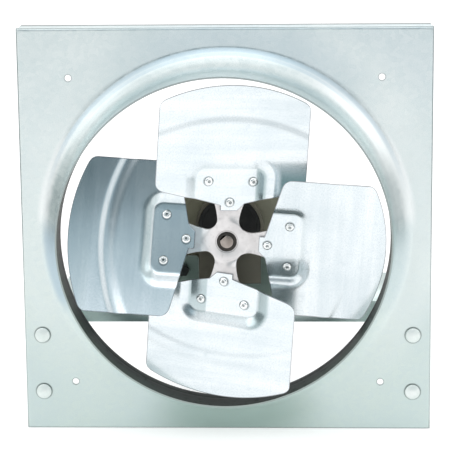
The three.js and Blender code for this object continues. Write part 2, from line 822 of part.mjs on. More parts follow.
function terminalBox() {
  const half = boxWidth / 2;
  const body = span(-half, half, boxFront, boxBack, motorRadius - boxSkirt, boxTop);
  const cavity = span(
    boxWall - half,
    half - boxWall,
    boxFront + boxWall,
    boxBack - boxWall,
    boxFloorTop,
    boxTop + overrun,
  );
  const saddle = barY(motorRadius + fitGap, boxFront - overrun, boxBack + overrun, 0, 0, roundSides);
  const knockoutHeight = THREE.MathUtils.lerp(boxFloorTop, boxTop, knockoutShare);
  const knockout = barY(knockoutRadius, boxBack - boxWall - overrun, boxBack + overrun, 0, knockoutHeight);
  const lugBottom = boxTop - lugHeight;
  const lugs = lugPlaces().map(([x, y]) => {
    const reach = lugSide / 2 + boxWall / 2;
    return span(x - reach, x + reach, y - reach, y + reach, lugBottom, boxTop);
  });
  const lugHoles = lugPlaces().map(([x, y]) => (
    barZ(boxScrewRadius + fitGap, lugBottom - overrun, boxTop + overrun, x, y, boltSides)
  ));
  return cut(join(cut(body, cavity, saddle), ...lugs), knockout, ...lugHoles);
}

const coverBottom = boxTop + fitGap;
const coverTop = coverBottom + boxWall;

function boxCover() {
  const half = boxWidth / 2;
  const plate = span(-half, half, boxFront, boxBack, coverBottom, coverTop);
  const holes = lugPlaces().map(([x, y]) => (
    barZ(boxScrewRadius + fitGap, coverBottom - overrun, coverTop + overrun, x, y, boltSides)
  ));
  return cut(plate, ...holes);
}

function coverScrew([x, y]) {
  const seat = coverTop + fitGap;
  const top = seat + boxScrewHeadHeight;
  const tip = coverBottom - lugHeight;
  const head = barZ(boxScrewHeadRadius, seat, top, x, y, boltSides);
  return join(head, barZ(boxScrewRadius, tip, top - boxScrewHeadHeight / 2, x, y, boltSides));
}

// Propeller

// Evenly spaced stations between the lines where a sheet changes direction
function stations(lines, steps) {
  const places = [];
  for (let i = 0; i < lines.length - 1; i += 1) {
    for (let step = 0; step < steps[i]; step += 1) {
      places.push(THREE.MathUtils.lerp(lines[i], lines[i + 1], step / steps[i]));
    }
  }
  places.push(lines[lines.length - 1]);
  return places;
}

// A sheet over a grid: across along X, out along Z, and its front face at y = depth(across, out)
function formedSheet(across, out, depth, thickness) {
  const columns = across.length;
  const rows = out.length;
  const places = [];
  for (const back of [0, thickness]) {
    for (const z of out) {
      for (const x of across) places.push(x, depth(x, z) + back, z);
    }
  }
  const at = (column, row, side) => side * columns * rows + row * columns + column;
  const faces = [];
  const quad = (a, b, c, d) => faces.push(a, b, c, a, c, d);
  for (let row = 0; row < rows - 1; row += 1) {
    for (let column = 0; column < columns - 1; column += 1) {
      quad(at(column, row, 0), at(column + 1, row, 0), at(column + 1, row + 1, 0), at(column, row + 1, 0));
      quad(at(column, row, 1), at(column, row + 1, 1), at(column + 1, row + 1, 1), at(column + 1, row, 1));
    }
    const last = columns - 1;
    quad(at(0, row, 0), at(0, row + 1, 0), at(0, row + 1, 1), at(0, row, 1));
    quad(at(last, row, 0), at(last, row, 1), at(last, row + 1, 1), at(last, row + 1, 0));
  }
  for (let column = 0; column < columns - 1; column += 1) {
    const last = rows - 1;
    quad(at(column, 0, 0), at(column, 0, 1), at(column + 1, 0, 1), at(column + 1, 0, 0));
    quad(at(column, last, 0), at(column + 1, last, 0), at(column + 1, last, 1), at(column, last, 1));
  }
  const geometry = new THREE.BufferGeometry();
  geometry.setAttribute('position', new THREE.Float32BufferAttribute(places, 3));
  geometry.setIndex(faces);
  return geometry;
}

// Front face of the riveting pad, across the arm
function padDepth(across) {
  return padFront + padSlopeShare * across;
}

// Front face of the blade, sunk to the pad round its rivets
function bladeDepth(across, out) {
  const main = padFront - bladeRise + bladeSlopeShare * across - across * across / (2 * bladeCamberRadius);
  const besidePad = Math.max(0, Math.abs(across) - padHalfWidth + padCorner);
  const beyondPad = Math.max(0, out - padReach + padCorner);
  const away = Math.max(0, Math.hypot(besidePad, beyondPad) - padCorner);
  return THREE.MathUtils.lerp(padDepth(across), main, Math.min(1, away / padWall));
}

// Where one edge of the blade turns into its tip and into its root
function bladeSide(width) {
  const slope = (bladeShoulder - bladeNeckDistance) / (width - bladeNeckHalfWidth);
  return {
    width,
    tipSquare: Math.sqrt(tipRadius ** 2 - width ** 2),
    cornerTurn: Math.asin((width - bladeTipCorner) / tipRadius),
    shoulderSide: width - bladeRootCorner,
    shoulderOut: bladeShoulder - slope * bladeRootCorner,
  };
}

function bladeOutline() {
  const trail = bladeSide(bladeTrailWidth);
  const lead = bladeSide(bladeLeadWidth);
  const rootTurn = bladeShoulder + bladeRootCorner;
  const shape = new THREE.Shape();
  shape.moveTo(-bladeTabHalfWidth, bladeRootDistance);
  shape.lineTo(bladeTabHalfWidth, bladeRootDistance);
  shape.lineTo(bladeNeckHalfWidth, bladeNeckDistance);
  shape.lineTo(trail.shoulderSide, trail.shoulderOut);
  shape.quadraticCurveTo(trail.width, bladeShoulder, trail.width, rootTurn);
  shape.lineTo(trail.width, trail.tipSquare - bladeTipCorner);
  const tipX = tipRadius * Math.sin(trail.cornerTurn);
  const tipY = tipRadius * Math.cos(trail.cornerTurn);
  shape.quadraticCurveTo(trail.width, trail.tipSquare, tipX, tipY);
  shape.absarc(0, 0, tipRadius, Math.PI / 2 - trail.cornerTurn, Math.PI / 2 + lead.cornerTurn, false);
  shape.quadraticCurveTo(-lead.width, lead.tipSquare, -lead.width, lead.tipSquare - bladeTipCorner);
  shape.lineTo(-lead.width, rootTurn);
  shape.quadraticCurveTo(-lead.width, bladeShoulder, -lead.shoulderSide, lead.shoulderOut);
  shape.lineTo(-bladeNeckHalfWidth, bladeNeckDistance);
  shape.lineTo(-bladeTabHalfWidth, bladeRootDistance + bladeTabStep);
  shape.closePath();
  return shape;
}

// How far the blade reaches in front of the pad and behind it, with room for a cutter
const bladeSwing = bladeSlopeShare * bladeTrailWidth + bladeRise + ribHeight + overrun;

function rivetPlaces() {
  return [[-rivetSide, rivetReachOuter], [rivetSide, rivetReachOuter], [0, rivetReachInner]];
}

// Half of what a rivet grips: the blade, the arm and the fits round them
const rivetGrip = (fitGap + bladeSheet + fitGap + spiderSheet + fitGap) / 2;

// Leans a piece built on the Y axis square to the pad, at a rivet's place
function atRivet(geometry, [x, z]) {
  const middle = padDepth(x) - fitGap + rivetGrip;
  return geometry.rotateZ(Math.atan(padSlopeShare)).translate(x, middle, z);
}

function rivetHoles() {
  const reach = rivetGrip + overrun;
  return rivetPlaces().map((place) => (
    atRivet(barY(rivetRadius + fitGap, -reach, reach, 0, 0, boltSides), place)
  ));
}

function blade() {
  const edge = bladeTrailWidth + overrun;
  const slopeEdge = padHalfWidth + padWall;
  const flatEdge = padHalfWidth - padCorner;
  const halfLines = [flatEdge, padHalfWidth, slopeEdge, edge];
  const acrossLines = [...halfLines.map((line) => -line).reverse(), ...halfLines];
  const acrossSteps = [2, 1, 1, 1, 1, 1, 2];
  const across = stations(acrossLines, acrossSteps);
  const slopeTop = padReach + padWall;
  const rootLine = bladeRootDistance - overrun;
  const outLines = [rootLine, padReach - padCorner, padReach, slopeTop, tipRadius + overrun];
  const out = stations(outLines, [1, 1, 1, 1]);
  const cutter = plateXZ(bladeOutline(), padFront - bladeSwing, padFront + bladeSwing, tipSteps);
  const sheet = common(formedSheet(across, out, bladeDepth, bladeSheet), cutter);
  const raised = (x, z) => bladeDepth(x, z) - ribHeight;
  const ribZone = stations([slopeTop, tipRadius + overrun], [1]);
  const ribOuter = ribCurve + ribWidth / 2;
  const ribStart = padFront - bladeSwing;
  const ribRing = washerY(ribOuter, ribOuter - ribWidth, ribStart, padFront + bladeSwing, fineSides);
  ribRing.translate(0, 0, ribReach - ribCurve);
  const rib = common(common(formedSheet(across, ribZone, raised, bladeSheet), ribRing), cutter);
  return cut(join(sheet, rib), ...rivetHoles());
}

// The arms lie flat near the hub and turn to the pad's pitch before they reach the blade
function armDepth(across, out) {
  const twist = THREE.MathUtils.clamp((out - armFlatReach) / (bladeRootDistance - armFlatReach), 0, 1);
  return spiderFront + twist * padSlopeShare * across;
}

function spider() {
  const edge = armPlateHalfWidth + overrun;
  const across = stations([-edge, edge], [2]);
  const out = stations([0, armFlatReach, bladeRootDistance, armPlateReach + overrun], [1, 1, 1]);
  const armShape = roundedOutline([
    [-bladeRootHalfWidth, 0, 0],
    [bladeRootHalfWidth, 0, 0],
    [bladeRootHalfWidth, bladeRootDistance, 0],
    [bladeNeckHalfWidth - fitGap, bladeNeckDistance, 0],
    [armPlateHalfWidth, armPlateStart, armPlateCorner],
    [armPlateHalfWidth, armPlateReach, armPlateCorner],
    [-armPlateHalfWidth, armPlateReach, armPlateCorner],
    [-armPlateHalfWidth, armPlateStart, armPlateCorner],
    [fitGap - bladeNeckHalfWidth, bladeNeckDistance, 0],
    [-bladeRootHalfWidth, bladeRootDistance, 0],
  ]);
  const cutter = plateXZ(armShape, padFront - bladeSwing, padFront + bladeSwing);
  const arm = cut(common(formedSheet(across, out, armDepth, spiderSheet), cutter), ...rivetHoles());
  const filletCentre = bladeRootHalfWidth + armFillet;
  const middle = new THREE.Shape();
  middle.moveTo(bladeRootHalfWidth, filletCentre);
  middle.absarc(filletCentre, filletCentre, armFillet, Math.PI, Math.PI * 1.5, false);
  middle.absarc(filletCentre, -filletCentre, armFillet, Math.PI / 2, Math.PI, false);
  middle.absarc(-filletCentre, -filletCentre, armFillet, 0, Math.PI / 2, false);
  middle.absarc(-filletCentre, filletCentre, armFillet, Math.PI * 1.5, Math.PI * 2, false);
  middle.closePath();
  const core = plateXZ(middle, spiderFront, spiderBack);
  const bore = barY(hubNoseRadius + fitGap, spiderFront - overrun, spiderBack + overrun, 0, 0, roundSides);
  return cut(join(core, ...aroundShaft(arm)), bore);
}

function aroundShaft(geometry) {
  const copies = [];
  for (let step = 0; step < bladeCount; step += 1) {
    copies.push(geometry.clone().rotateY(2 * Math.PI * step / bladeCount));
  }
  return copies;
}

function rivet(place) {
  const headShares = [[0, 1], [0.6, 0.8], [1, 0]];
  const dome = headShares.map(([out, up]) => [out * rivetHeadRadius, rivetGrip + up * rivetHeadHeight]);
  const domeFront = dome.map(([radius, y]) => [radius, -y]);
  const profile = [...domeFront, [rivetRadius, -rivetGrip], [rivetRadius, rivetGrip], ...dome.reverse()];
  return atRivet(turned(profile, boltSides), place);
}

function hub() {
  const bore = shaftRadius + fitGap;
  const body = turned([
    [bore, noseFront],
    [hubNoseRadius, noseFront],
    [hubNoseRadius, hubFront],
    [hubRadius, hubFront],
    [hubRadius, hubBack],
    [bore, hubBack],
    [bore, noseFront],
  ]);
  const hole = barZ(setScrewRadius + fitGap, 0, hubRadius + overrun, 0, setScrewPlace);
  return cut(body, hole.rotateY(THREE.MathUtils.degToRad(shaftFlatTurn)));
}

const setScrewPlace = (hubFront + hubBack) / 2;

function setScrew() {
  const seat = shaftRadius - shaftFlatDepth + fitGap;
  const screw = barZ(setScrewRadius, seat, seat + setScrewLength, 0, setScrewPlace, boltSides);
  return screw.rotateY(THREE.MathUtils.degToRad(shaftFlatTurn));
}

// Assembly of the standing pieces

function addEach(group, name, shapes, finish) {
  shapes.forEach((shape, i) => addPiece(group, `${name}_${i + 1}`, shape, finish));
}

function bothEnds(front) {
  return [front, mirroredY(front, motorMiddle)];
}

function addPair(name, front, finish) {
  const [near, far] = bothEnds(front);
  addPiece(fan, `front_${name}`, onShaft(near), finish);
  addPiece(fan, `rear_${name}`, onShaft(far), finish);
}

const bracket = sideBracket();
addPiece(fan, 'wall_panel', wallPanel(), 'galvanised');
addPiece(fan, 'right_shelf_bracket', bracket, 'galvanised');
addPiece(fan, 'left_shelf_bracket', mirroredX(bracket), 'galvanised');
addPiece(fan, 'motor_shelf', motorShelf(), 'galvanised');
addEach(fan, 'carriage_bolt', carriagePlaces().map(carriageBolt), 'zinc');
addPiece(fan, 'motor_cradle', onShaft(cradle()), 'galvanised');
addEach(fan, 'cradle_bolt', cradleBoltPlaces().map(cradleBolt), 'zinc');

addPair('ring_hanger', frontHanger(), 'motorPaint');
addPair('cushion_ring', frontCushion(), 'rubber');
addPair('pinch_screw', pinchScrew(), 'zinc');
const hangerBolts = [-hangerBoltX, hangerBoltX].flatMap((x) => bothEnds(hangerBolt(x)));
addEach(fan, 'hanger_bolt', hangerBolts.map(onShaft), 'zinc');

addPair('end_shield', frontShield(), 'motorPaint');
addPair('bearing', washerY(bearingRadius, bearingBore, bearingFront, bearingBack), 'bronze');
addPair('winding', frontWinding(), 'copper');
addPiece(fan, 'motor_shell', onShaft(motorShell()), 'motorPaint');
addPiece(fan, 'stator_core', onShaft(statorCore()), 'laminations');
addEach(fan, 'through_bolt', throughBoltPlaces().map(throughBolt).map(onShaft), 'zinc');

addPiece(fan, 'terminal_box', onShaft(terminalBox()), 'motorPaint');
addPiece(fan, 'terminal_box_cover', onShaft(boxCover()), 'motorPaint');
addEach(fan, 'cover_screw', lugPlaces().map(coverScrew).map(onShaft), 'zinc');

// Assembly of the turning pieces, turned to where the propeller rests

const rotor = new THREE.Group();
rotor.position.x = shaftOffset;
rotor.rotation.y = THREE.MathUtils.degToRad(restTurn);
fan.add(rotor);

addPiece(rotor, 'motor_shaft', motorShaft(), 'steel');
addPiece(rotor, 'rotor_core', rotorCore(), 'laminations');
addPiece(rotor, 'propeller_hub', hub(), 'zinc');
addPiece(rotor, 'hub_set_screw', setScrew(), 'steel');
addPiece(rotor, 'propeller_spider', spider(), 'steel');
addEach(rotor, 'blade', aroundShaft(blade()), 'blade');
addEach(rotor, 'rivet', rivetPlaces().map(rivet).flatMap(aroundShaft), 'steel');

export default fan;
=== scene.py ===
import bpy
import bmesh
import math
from mathutils import Matrix, Vector


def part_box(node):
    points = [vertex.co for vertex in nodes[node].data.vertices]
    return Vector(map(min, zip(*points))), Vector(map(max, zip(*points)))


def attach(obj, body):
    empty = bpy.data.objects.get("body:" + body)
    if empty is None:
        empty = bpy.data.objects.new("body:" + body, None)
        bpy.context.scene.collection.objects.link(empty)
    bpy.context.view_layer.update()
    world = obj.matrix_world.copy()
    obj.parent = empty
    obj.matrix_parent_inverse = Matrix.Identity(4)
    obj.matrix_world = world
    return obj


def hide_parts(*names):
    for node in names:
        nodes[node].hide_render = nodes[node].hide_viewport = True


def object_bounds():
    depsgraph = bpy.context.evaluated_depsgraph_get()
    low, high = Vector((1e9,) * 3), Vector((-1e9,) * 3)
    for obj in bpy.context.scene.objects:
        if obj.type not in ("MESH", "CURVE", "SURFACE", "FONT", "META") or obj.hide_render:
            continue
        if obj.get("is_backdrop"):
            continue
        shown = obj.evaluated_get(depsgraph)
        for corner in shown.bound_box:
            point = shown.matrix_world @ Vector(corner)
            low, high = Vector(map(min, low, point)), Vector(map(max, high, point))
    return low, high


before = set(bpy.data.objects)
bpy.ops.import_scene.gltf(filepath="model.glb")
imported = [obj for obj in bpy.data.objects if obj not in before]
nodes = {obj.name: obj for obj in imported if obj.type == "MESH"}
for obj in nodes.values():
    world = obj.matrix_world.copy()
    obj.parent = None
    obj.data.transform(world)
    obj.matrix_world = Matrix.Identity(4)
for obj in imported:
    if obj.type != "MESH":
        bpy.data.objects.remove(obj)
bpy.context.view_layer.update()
mm = 0.001
print("frame loaded:", len(nodes), "nodes")

# Camera at the photograph's angle

cameraView = {"turn": 2.48, "rise": 12.23, "roll": -0.6, "distance": 2.0157, "lens": 163.06,
              "target": (-0.00093, 0.0, 0.00709)}


def newObject(name, data):
    thing = bpy.data.objects.new(name, data)
    bpy.context.scene.collection.objects.link(thing)
    return thing


def makeCamera(view):
    turn, rise, roll = (math.radians(view[key]) for key in ("turn", "rise", "roll"))
    back = Vector((math.sin(turn) * math.cos(rise), -math.cos(turn) * math.cos(rise), math.sin(rise)))
    right = Vector((0, 0, 1)).cross(back).normalized()
    up = back.cross(right)
    rolledRight = right * math.cos(roll) + up * math.sin(roll)
    data = bpy.data.cameras.new("photoCamera")
    data.lens = view["lens"]
    camera = newObject("photoCamera", data)
    axes = Matrix((rolledRight, back.cross(rolledRight), back)).transposed().to_4x4()
    camera.matrix_world = Matrix.Translation(Vector(view["target"]) + back * view["distance"]) @ axes
    bpy.context.scene.camera = camera


makeCamera(cameraView)

# Formulas in node trees


class Wire:  # an output of a node, so that a formula can be written as one
    def __init__(self, socket):
        self.socket = socket

    def node(self, kind, *inputs, **settings):
        return out(put(self.socket.id_data, kind, dict(enumerate(inputs)), **settings))

    def __add__(self, other):
        return self.node("Math", self, other, operation="ADD")

    def __sub__(self, other):
        return self.node("Math", self, other, operation="SUBTRACT")

    def __mul__(self, other):
        return self.node("Math", self, other, operation="MULTIPLY")

    def __truediv__(self, other):
        return self.node("Math", self, other, operation="DIVIDE")

    def __rtruediv__(self, other):
        return self.node("Math", other, self, operation="DIVIDE")

    def least(self, other):
        return self.node("Math", self, other, operation="MINIMUM")

    def most(self, other):
        return self.node("Math", self, other, operation="MAXIMUM")

    def root(self):
        return self.node("Math", self, operation="SQRT")

    def size(self):
        return self.node("Math", self, operation="ABSOLUTE")

    def oneMinus(self):
        return self.node("Math", self, -1.0, 1.0, operation="MULTIPLY_ADD")

    def band(self, low, high, toLow=0.0, toHigh=1.0):  # smooth step from toLow to toHigh
        return self.node("MapRange", self, low, high, toLow, toHigh, interpolation_type="SMOOTHSTEP")

    def between(self, start, full, fading, end):  # rises from start to full, goes down from fading to end
        return self.band(start, full) * self.band(fading, end, 1.0, 0.0)


def plug(value, socket):
    if isinstance(value, Wire):
        socket.id_data.links.new(value.socket, socket)
    else:
        socket.default_value = value


def put(tree, kind, inputs=None, family="ShaderNode", **settings):
    node = tree.nodes.new(family + kind)
    for name, value in settings.items():
        setattr(node, name, value)
    for name, value in (inputs or {}).items():
        plug(value, node.inputs[name])
    return node


def out(node, name=0):
    return Wire(node.outputs[name])


def strongest(wires):
    first, *others = wires
    for other in others:
        first = first.most(other)
    return first


def mixed(share, first, second):
    return out(put(share.socket.id_data, "Mix", {0: share, 6: first, 7: second}, data_type="RGBA"), 2)


def split(vector):
    node = put(vector.socket.id_data, "SeparateXYZ", {"Vector": vector})
    return [out(node, axis) for axis in range(3)]


def joined(tree, x, y, z):
    return out(put(tree, "CombineXYZ", {"X": x, "Y": y, "Z": z}))


def noise(place, scale, detail=2.0):
    return out(put(place.socket.id_data, "TexNoise", {"Vector": place, "Scale": scale, "Detail": detail}))


def attribute(tree, name, kind="Fac"):
    return out(put(tree, "Attribute", attribute_name=name), kind)


def rgb(red, green, blue):  # a colour as it shows on screen, 0 to 255
    def straight(value):
        value /= 255
        return value / 12.92 if value <= 0.04045 else ((value + 0.055) / 1.055) ** 2.4
    return (straight(red), straight(green), straight(blue), 1.0)


def newGroup(name, kind, inputs, outputs):
    tree = bpy.data.node_groups.new(name, kind)
    for socketName, socketKind, value in inputs:
        socket = tree.interface.new_socket(socketName, in_out="INPUT", socket_type="NodeSocket" + socketKind)
        if value is not None:
            socket.default_value = value
    for socketName, socketKind in outputs:
        tree.interface.new_socket(socketName, in_out="OUTPUT", socket_type="NodeSocket" + socketKind)
    return tree, tree.nodes.new("NodeGroupInput"), tree.nodes.new("NodeGroupOutput")


# Shared surface effects


def effectGroup(name, inputs, outputs):
    sockets = [("Place", "Vector", None)] + [(key, "Float", value) for key, value in inputs]
    return newGroup(name, "ShaderNodeTree", sockets, [(key, "Float") for key in outputs])


def spangleGroup():  # zinc crystals: each grain has its own shade
    inputs, outputs = [("Grain Size", 0.006), ("Contrast", 0.5)], ["Shade", "Rough"]
    tree, given, result = effectGroup("zincSpangle", inputs, outputs)
    place, contrast, scale = out(given, "Place"), out(given, "Contrast"), 1.0 / out(given, "Grain Size")
    warp = put(tree, "TexNoise", {"Vector": place, "Scale": scale * 0.7, "Detail": 2.0})
    bent = put(tree, "VectorMath", {0: out(warp, "Color"), 1: (0.0035, 0.0035, 0.0035)}, operation="MULTIPLY")
    moved = put(tree, "VectorMath", {0: place, 1: out(bent)}, operation="ADD")
    shade = split(out(put(tree, "TexVoronoi", {"Vector": out(moved), "Scale": scale}), "Color"))[0] - 0.5
    both = shade * 0.25 + (noise(place, scale * 6.0, 3.0) - 0.5) * 1.3
    plug(both * contrast + 0.5, result.inputs["Shade"])
    plug(shade * contrast + 0.5, result.inputs["Rough"])
    return tree


def brushedGroup():  # fine lines left by rolling, along X of the place that comes in
    inputs, outputs = [("Lines", 900.0), ("Streaks", 60.0)], ["Lines", "Streaks"]
    tree, given, result = effectGroup("rolledGrain", inputs, outputs)
    x, y, z = split(out(given, "Place"))
    for name, stretch, detail in (("Lines", 0.03, 2.0), ("Streaks", 0.08, 3.0)):
        plug(noise(joined(tree, x * stretch, y, z), out(given, name), detail), result.inputs[name])
    return tree


def handlingGroup():  # broad stains and small scuffs
    inputs, outputs = [("Stain Size", 0.08), ("Scuff Size", 0.01)], ["Stain", "Scuff"]
    tree, given, result = effectGroup("handling", inputs, outputs)
    for name, low, high in (("Stain", 0.35, 0.7), ("Scuff", 0.55, 0.75)):
        field = noise(out(given, "Place"), 1.0 / out(given, name + " Size"), 4.0)
        plug(field.band(low, high), result.inputs[name])
    return tree


def edgeGroup():  # where the surface turns sharply, for worn or bright edges
    reach, edge = ("Reach", "Float", 0.0008), ("Edge", "Float")
    tree, given, result = newGroup("bareEdges", "ShaderNodeTree", [reach], [edge])
    bevel = out(put(tree, "Bevel", {"Radius": out(given, "Reach")}, samples=4))
    flat = out(put(tree, "NewGeometry"), "Normal")
    turn = put(tree, "VectorMath", {0: bevel, 1: flat}, operation="DOT_PRODUCT")
    plug(out(turn, "Value").band(0.995, 0.9), result.inputs["Edge"])
    return tree


effects = {"spangle": spangleGroup(), "brushed": brushedGroup(), "handling": handlingGroup(),
           "edge": edgeGroup()}


def effect(tree, name, **values):
    inputs = {key.replace("_", " "): value for key, value in values.items()}
    return put(tree, "Group", inputs, node_tree=effects[name])


def newMaterial(name, **fixed):  # a material, its tree, its Principled shader and the object's own place
    material = bpy.data.materials.new(name)
    material.use_nodes = True
    tree = material.node_tree
    shader = next(node for node in tree.nodes if node.type == "BSDF_PRINCIPLED")
    for key, value in fixed.items():
        shader.inputs[key].default_value = value
    return material, tree, shader, out(put(tree, "TexCoord"), "Object")


def surface(shader, colour, roughness, height, depth):
    bump = put(shader.id_data, "Bump", {"Height": height, "Distance": depth, "Strength": 1.0})
    for value, name in ((colour, "Base Color"), (roughness, "Roughness"), (out(bump), "Normal")):
        plug(value, shader.inputs[name])


# Finishes

zincSheet = {"pale": rgb(240, 246, 245), "deep": rgb(194, 210, 212), "low": rgb(212, 225, 219),
             "worn": rgb(236, 243, 243), "metallic": 0.82, "grain": 0.0045, "roughness": 0.28}
# painted shade: a darker copy of the zinc, for the cradle that sits in shadow behind the blades
shadedSheet = {**zincSheet, "pale": rgb(148, 160, 150), "deep": rgb(120, 134, 126), "low": rgb(142, 156, 146),
             "roughness": 0.37}
# The panel's front, with painted highlights and painted shade. A mark says where it starts, is full, is still
# full and ends, first out from the centre and then up as a share of that. Last come two shares across and its
# strength at each of them.
drawnSheet = {
    "bright": rgb(254, 255, 255), "topTone": rgb(168, 190, 204), "bottomTone": rgb(138, 162, 154),
    "foldShade": rgb(92, 103, 102), "rimLow": rgb(150, 162, 158), "rimHigh": rgb(146, 156, 156),
    "half": 0.2032, "fold": 0.0016, "frontFold": (0.0005, 0.002, 1.0, 0.0), "backFold": (0.016, 0.02),
    "endFold": (-0.2, -0.19, 1.0, 0.6), "rim": -0.0586,
    # painted highlights on and beside the collar's bend, then painted shade on the bend's crest and sides
    "marks": [
        ("bright", [((0.174, 0.186, 0.2, 0.23), (-0.85, -0.3, 0.3, 0.85), (-1.0, 1.0, 0.12, 0.22))]),
        ("bright", [((0.167, 0.172, 0.18, 0.187), (0.2, 0.6, 0.8, 0.98), (-1.0, 1.0, 0.15, 0.65)),
                    ((0.174, 0.178, 0.184, 0.19), (0.0, 0.12, 0.45, 0.6), (-1.0, 1.0, 0.5, 0.5))]),
        ("bright", [((0.163, 0.168, 0.175, 0.18), (0.0, 0.15, 0.4, 0.6), (0.5, 0.9, 0.0, 0.5))]),
        ("topTone", [((0.163, 0.168, 0.178, 0.186), (-0.5, -0.35, -0.05, 0.12), (-0.6, 0.6, 0.7, 0.15)),
                     ((0.178, 0.1805, 0.1825, 0.184), (0.2, 0.6, 2.0, 3.0), (-1.0, 1.0, 0.5, 0.5)),
                     ((0.1755, 0.1765, 0.178, 0.18), (0.5, 0.9, 2.0, 3.0), (-1.0, 1.0, 0.4, 0.4))])],
    "near": (0.174, 0.186, 0.194, 0.236),
    "corner": ((0.2, 0.25, 2.0, 3.0), (0.3, 0.7, 2.0, 3.0), (0.0, 0.4, 0.0, 0.2)),
    # painted shade: how far the dark bands above and below lean across, where they start and are full, and
    # their strength
    "top": (0.12, 0.66, 1.04, 0.33), "bottom": (0.04, 0.86, 1.0, 0.76),
    # painted shadows round the holes and the carriage bolts: across, up, inner and outer radius, strength
    "rings": [(0.1531, 0.154, 0.0034, 0.0044, 0.5), (0.1531, -0.154, 0.0034, 0.0044, 0.5),
              (0.1854, -0.1055, 0.008, 0.0092, 0.6), (0.1854, -0.1641, 0.008, 0.0092, 0.6)]}


def paintedLightAndShade(place, colour, drawn):  # painted shade above and below the collar and on its crest, painted highlights on and beside its bend
    x, y, z = split(place)
    away = (x * x + z * z).root()
    up, side = z / away, x / away

    def mark(reach, height, across):
        return away.between(*reach) * up.between(*height) * side.band(*across)

    for tone, marks in drawn["marks"]:
        colour = mixed(strongest(mark(*sizes) for sizes in marks), colour, drawn[tone])
    near = away.between(*drawn["near"])
    lean, start, full, strength = drawn["top"]
    top = (near * (up + side * lean).band(start, full) * strength).most(mark(*drawn["corner"]))
    lean, start, full, strength = drawn["bottom"]
    bottom = near * (side * lean - up).band(start, full) * strength
    return mixed(bottom, mixed(top, colour, drawn["topTone"]), drawn["bottomTone"])


def foldShade(place, colour, drawn):  # painted shade: dark lines along the panel's folds, strongest along the bottom, painted shadows round the holes and bolts, and bare cut edges
    x, y, z = split(place)
    half, fold, rim = drawn["half"], drawn["fold"], drawn["rim"]
    edge = x.size().most(z.size()).band(half - fold, half - fold * 0.3)
    marks = edge * y.band(*drawn["frontFold"]) * z.band(*drawn["endFold"]) + edge * y.band(*drawn["backFold"])
    for across, height, inner, outer, strength in drawn["rings"]:
        right, above = x.size() - across, z - height
        marks = marks.most((right * right + above * above).root().band(inner, outer, strength, 0.0))
    colour = mixed(marks.least(1.0), colour, drawn["foldShade"])
    rimTone = mixed(z.band(-0.15, 0.12), drawn["rimLow"], drawn["rimHigh"])
    return mixed(y.band(rim - 0.0001, rim + 0.0001, 1.0, 0.0) * 0.85, colour, rimTone)


def galvanisedMaterial(name, finish, drawn=None):
    material, tree, shader, place = newMaterial(name, Metallic=finish["metallic"])
    spangle = effect(tree, "spangle", Place=place, Grain_Size=finish["grain"], Contrast=0.8)
    handling = effect(tree, "handling", Place=place, Stain_Size=0.11, Scuff_Size=0.012)
    # painted shade: darker, greener zinc towards the bottom
    colour = mixed(split(place)[2].band(-0.2, 0.16), finish["low"], finish["pale"])
    colour = mixed(out(spangle, "Shade").band(0.15, 0.85).oneMinus() * 0.7, colour, finish["deep"])
    colour = mixed(out(handling, "Stain") * 0.4, colour, finish["deep"])
    if drawn:
        colour = foldShade(place, paintedLightAndShade(place, colour, drawn), drawn)
    else:
        colour = mixed(out(effect(tree, "edge", Reach=0.0009), "Edge") * 0.5, colour, finish["worn"])
    rough = out(spangle, "Rough") * 0.1 + finish["roughness"] + out(handling, "Scuff") * 0.06
    surface(shader, colour, rough, noise(place, 900.0) * 0.5 + out(spangle, "Shade") * 0.5, 0.00003)
    return material


innerWall = {"metallic": 0.4, "specular": 0.3, "roughness": 0.5, "clean": (0.165, 0.178),
             "nearLip": (-0.03, -0.058), "deepShade": (rgb(6, 9, 8), rgb(18, 23, 20)),
             "lip": (rgb(24, 32, 28), rgb(46, 60, 52)), "paintedMirror": rgb(84, 148, 144),
             "paintedMirrorNear": rgb(240, 246, 244), "nearMirror": (0.025, 0.05, 1.0, 0.0),
             "glow": rgb(204, 210, 208), "paintedGlowStrength": 0.22}


def innerWallMaterial(finish):  # painted shade: the collar's inside is painted near black, lighter towards the lip and at the sides, and stained
    material, tree, shader, place = newMaterial("shadedZinc", Metallic=finish["metallic"])
    handling = effect(tree, "handling", Place=place, Stain_Size=0.05, Scuff_Size=0.006)
    x, y, z = split(place)
    away = (x * x + z * z).root()
    lip = mixed((x / away).size().band(0.15, 0.6), *finish["lip"])
    colour = mixed(y.band(*finish["nearLip"]), mixed(out(handling, "Stain"), *finish["deepShade"]), lip)
    colour = mixed(away.band(*finish["clean"]), colour, zincSheet["low"])
    # painted reflection: glossy rays see this wall teal, and a painted glow keeps it light where blade tips
    # close to it reflect it
    path = put(tree, "LightPath")
    paintedMirror = out(path, "Is Glossy Ray")
    near = paintedMirror * out(path, "Ray Length").band(*finish["nearMirror"])
    colour = mixed(paintedMirror * 0.3, colour, finish["paintedMirror"])
    colour = mixed(near * 0.8, colour, finish["paintedMirrorNear"])
    plug(mixed(near, rgb(0, 0, 0), finish["glow"]), shader.inputs["Emission Color"])
    shader.inputs["Emission Strength"].default_value = finish["paintedGlowStrength"]
    shader.inputs["Specular IOR Level"].default_value = finish["specular"]
    scuff = out(handling, "Scuff")
    surface(shader, colour, scuff * 0.12 + finish["roughness"], scuff, 0.00003)
    return material


brightWorn, headShade = rgb(240, 244, 244), rgb(84, 94, 94)


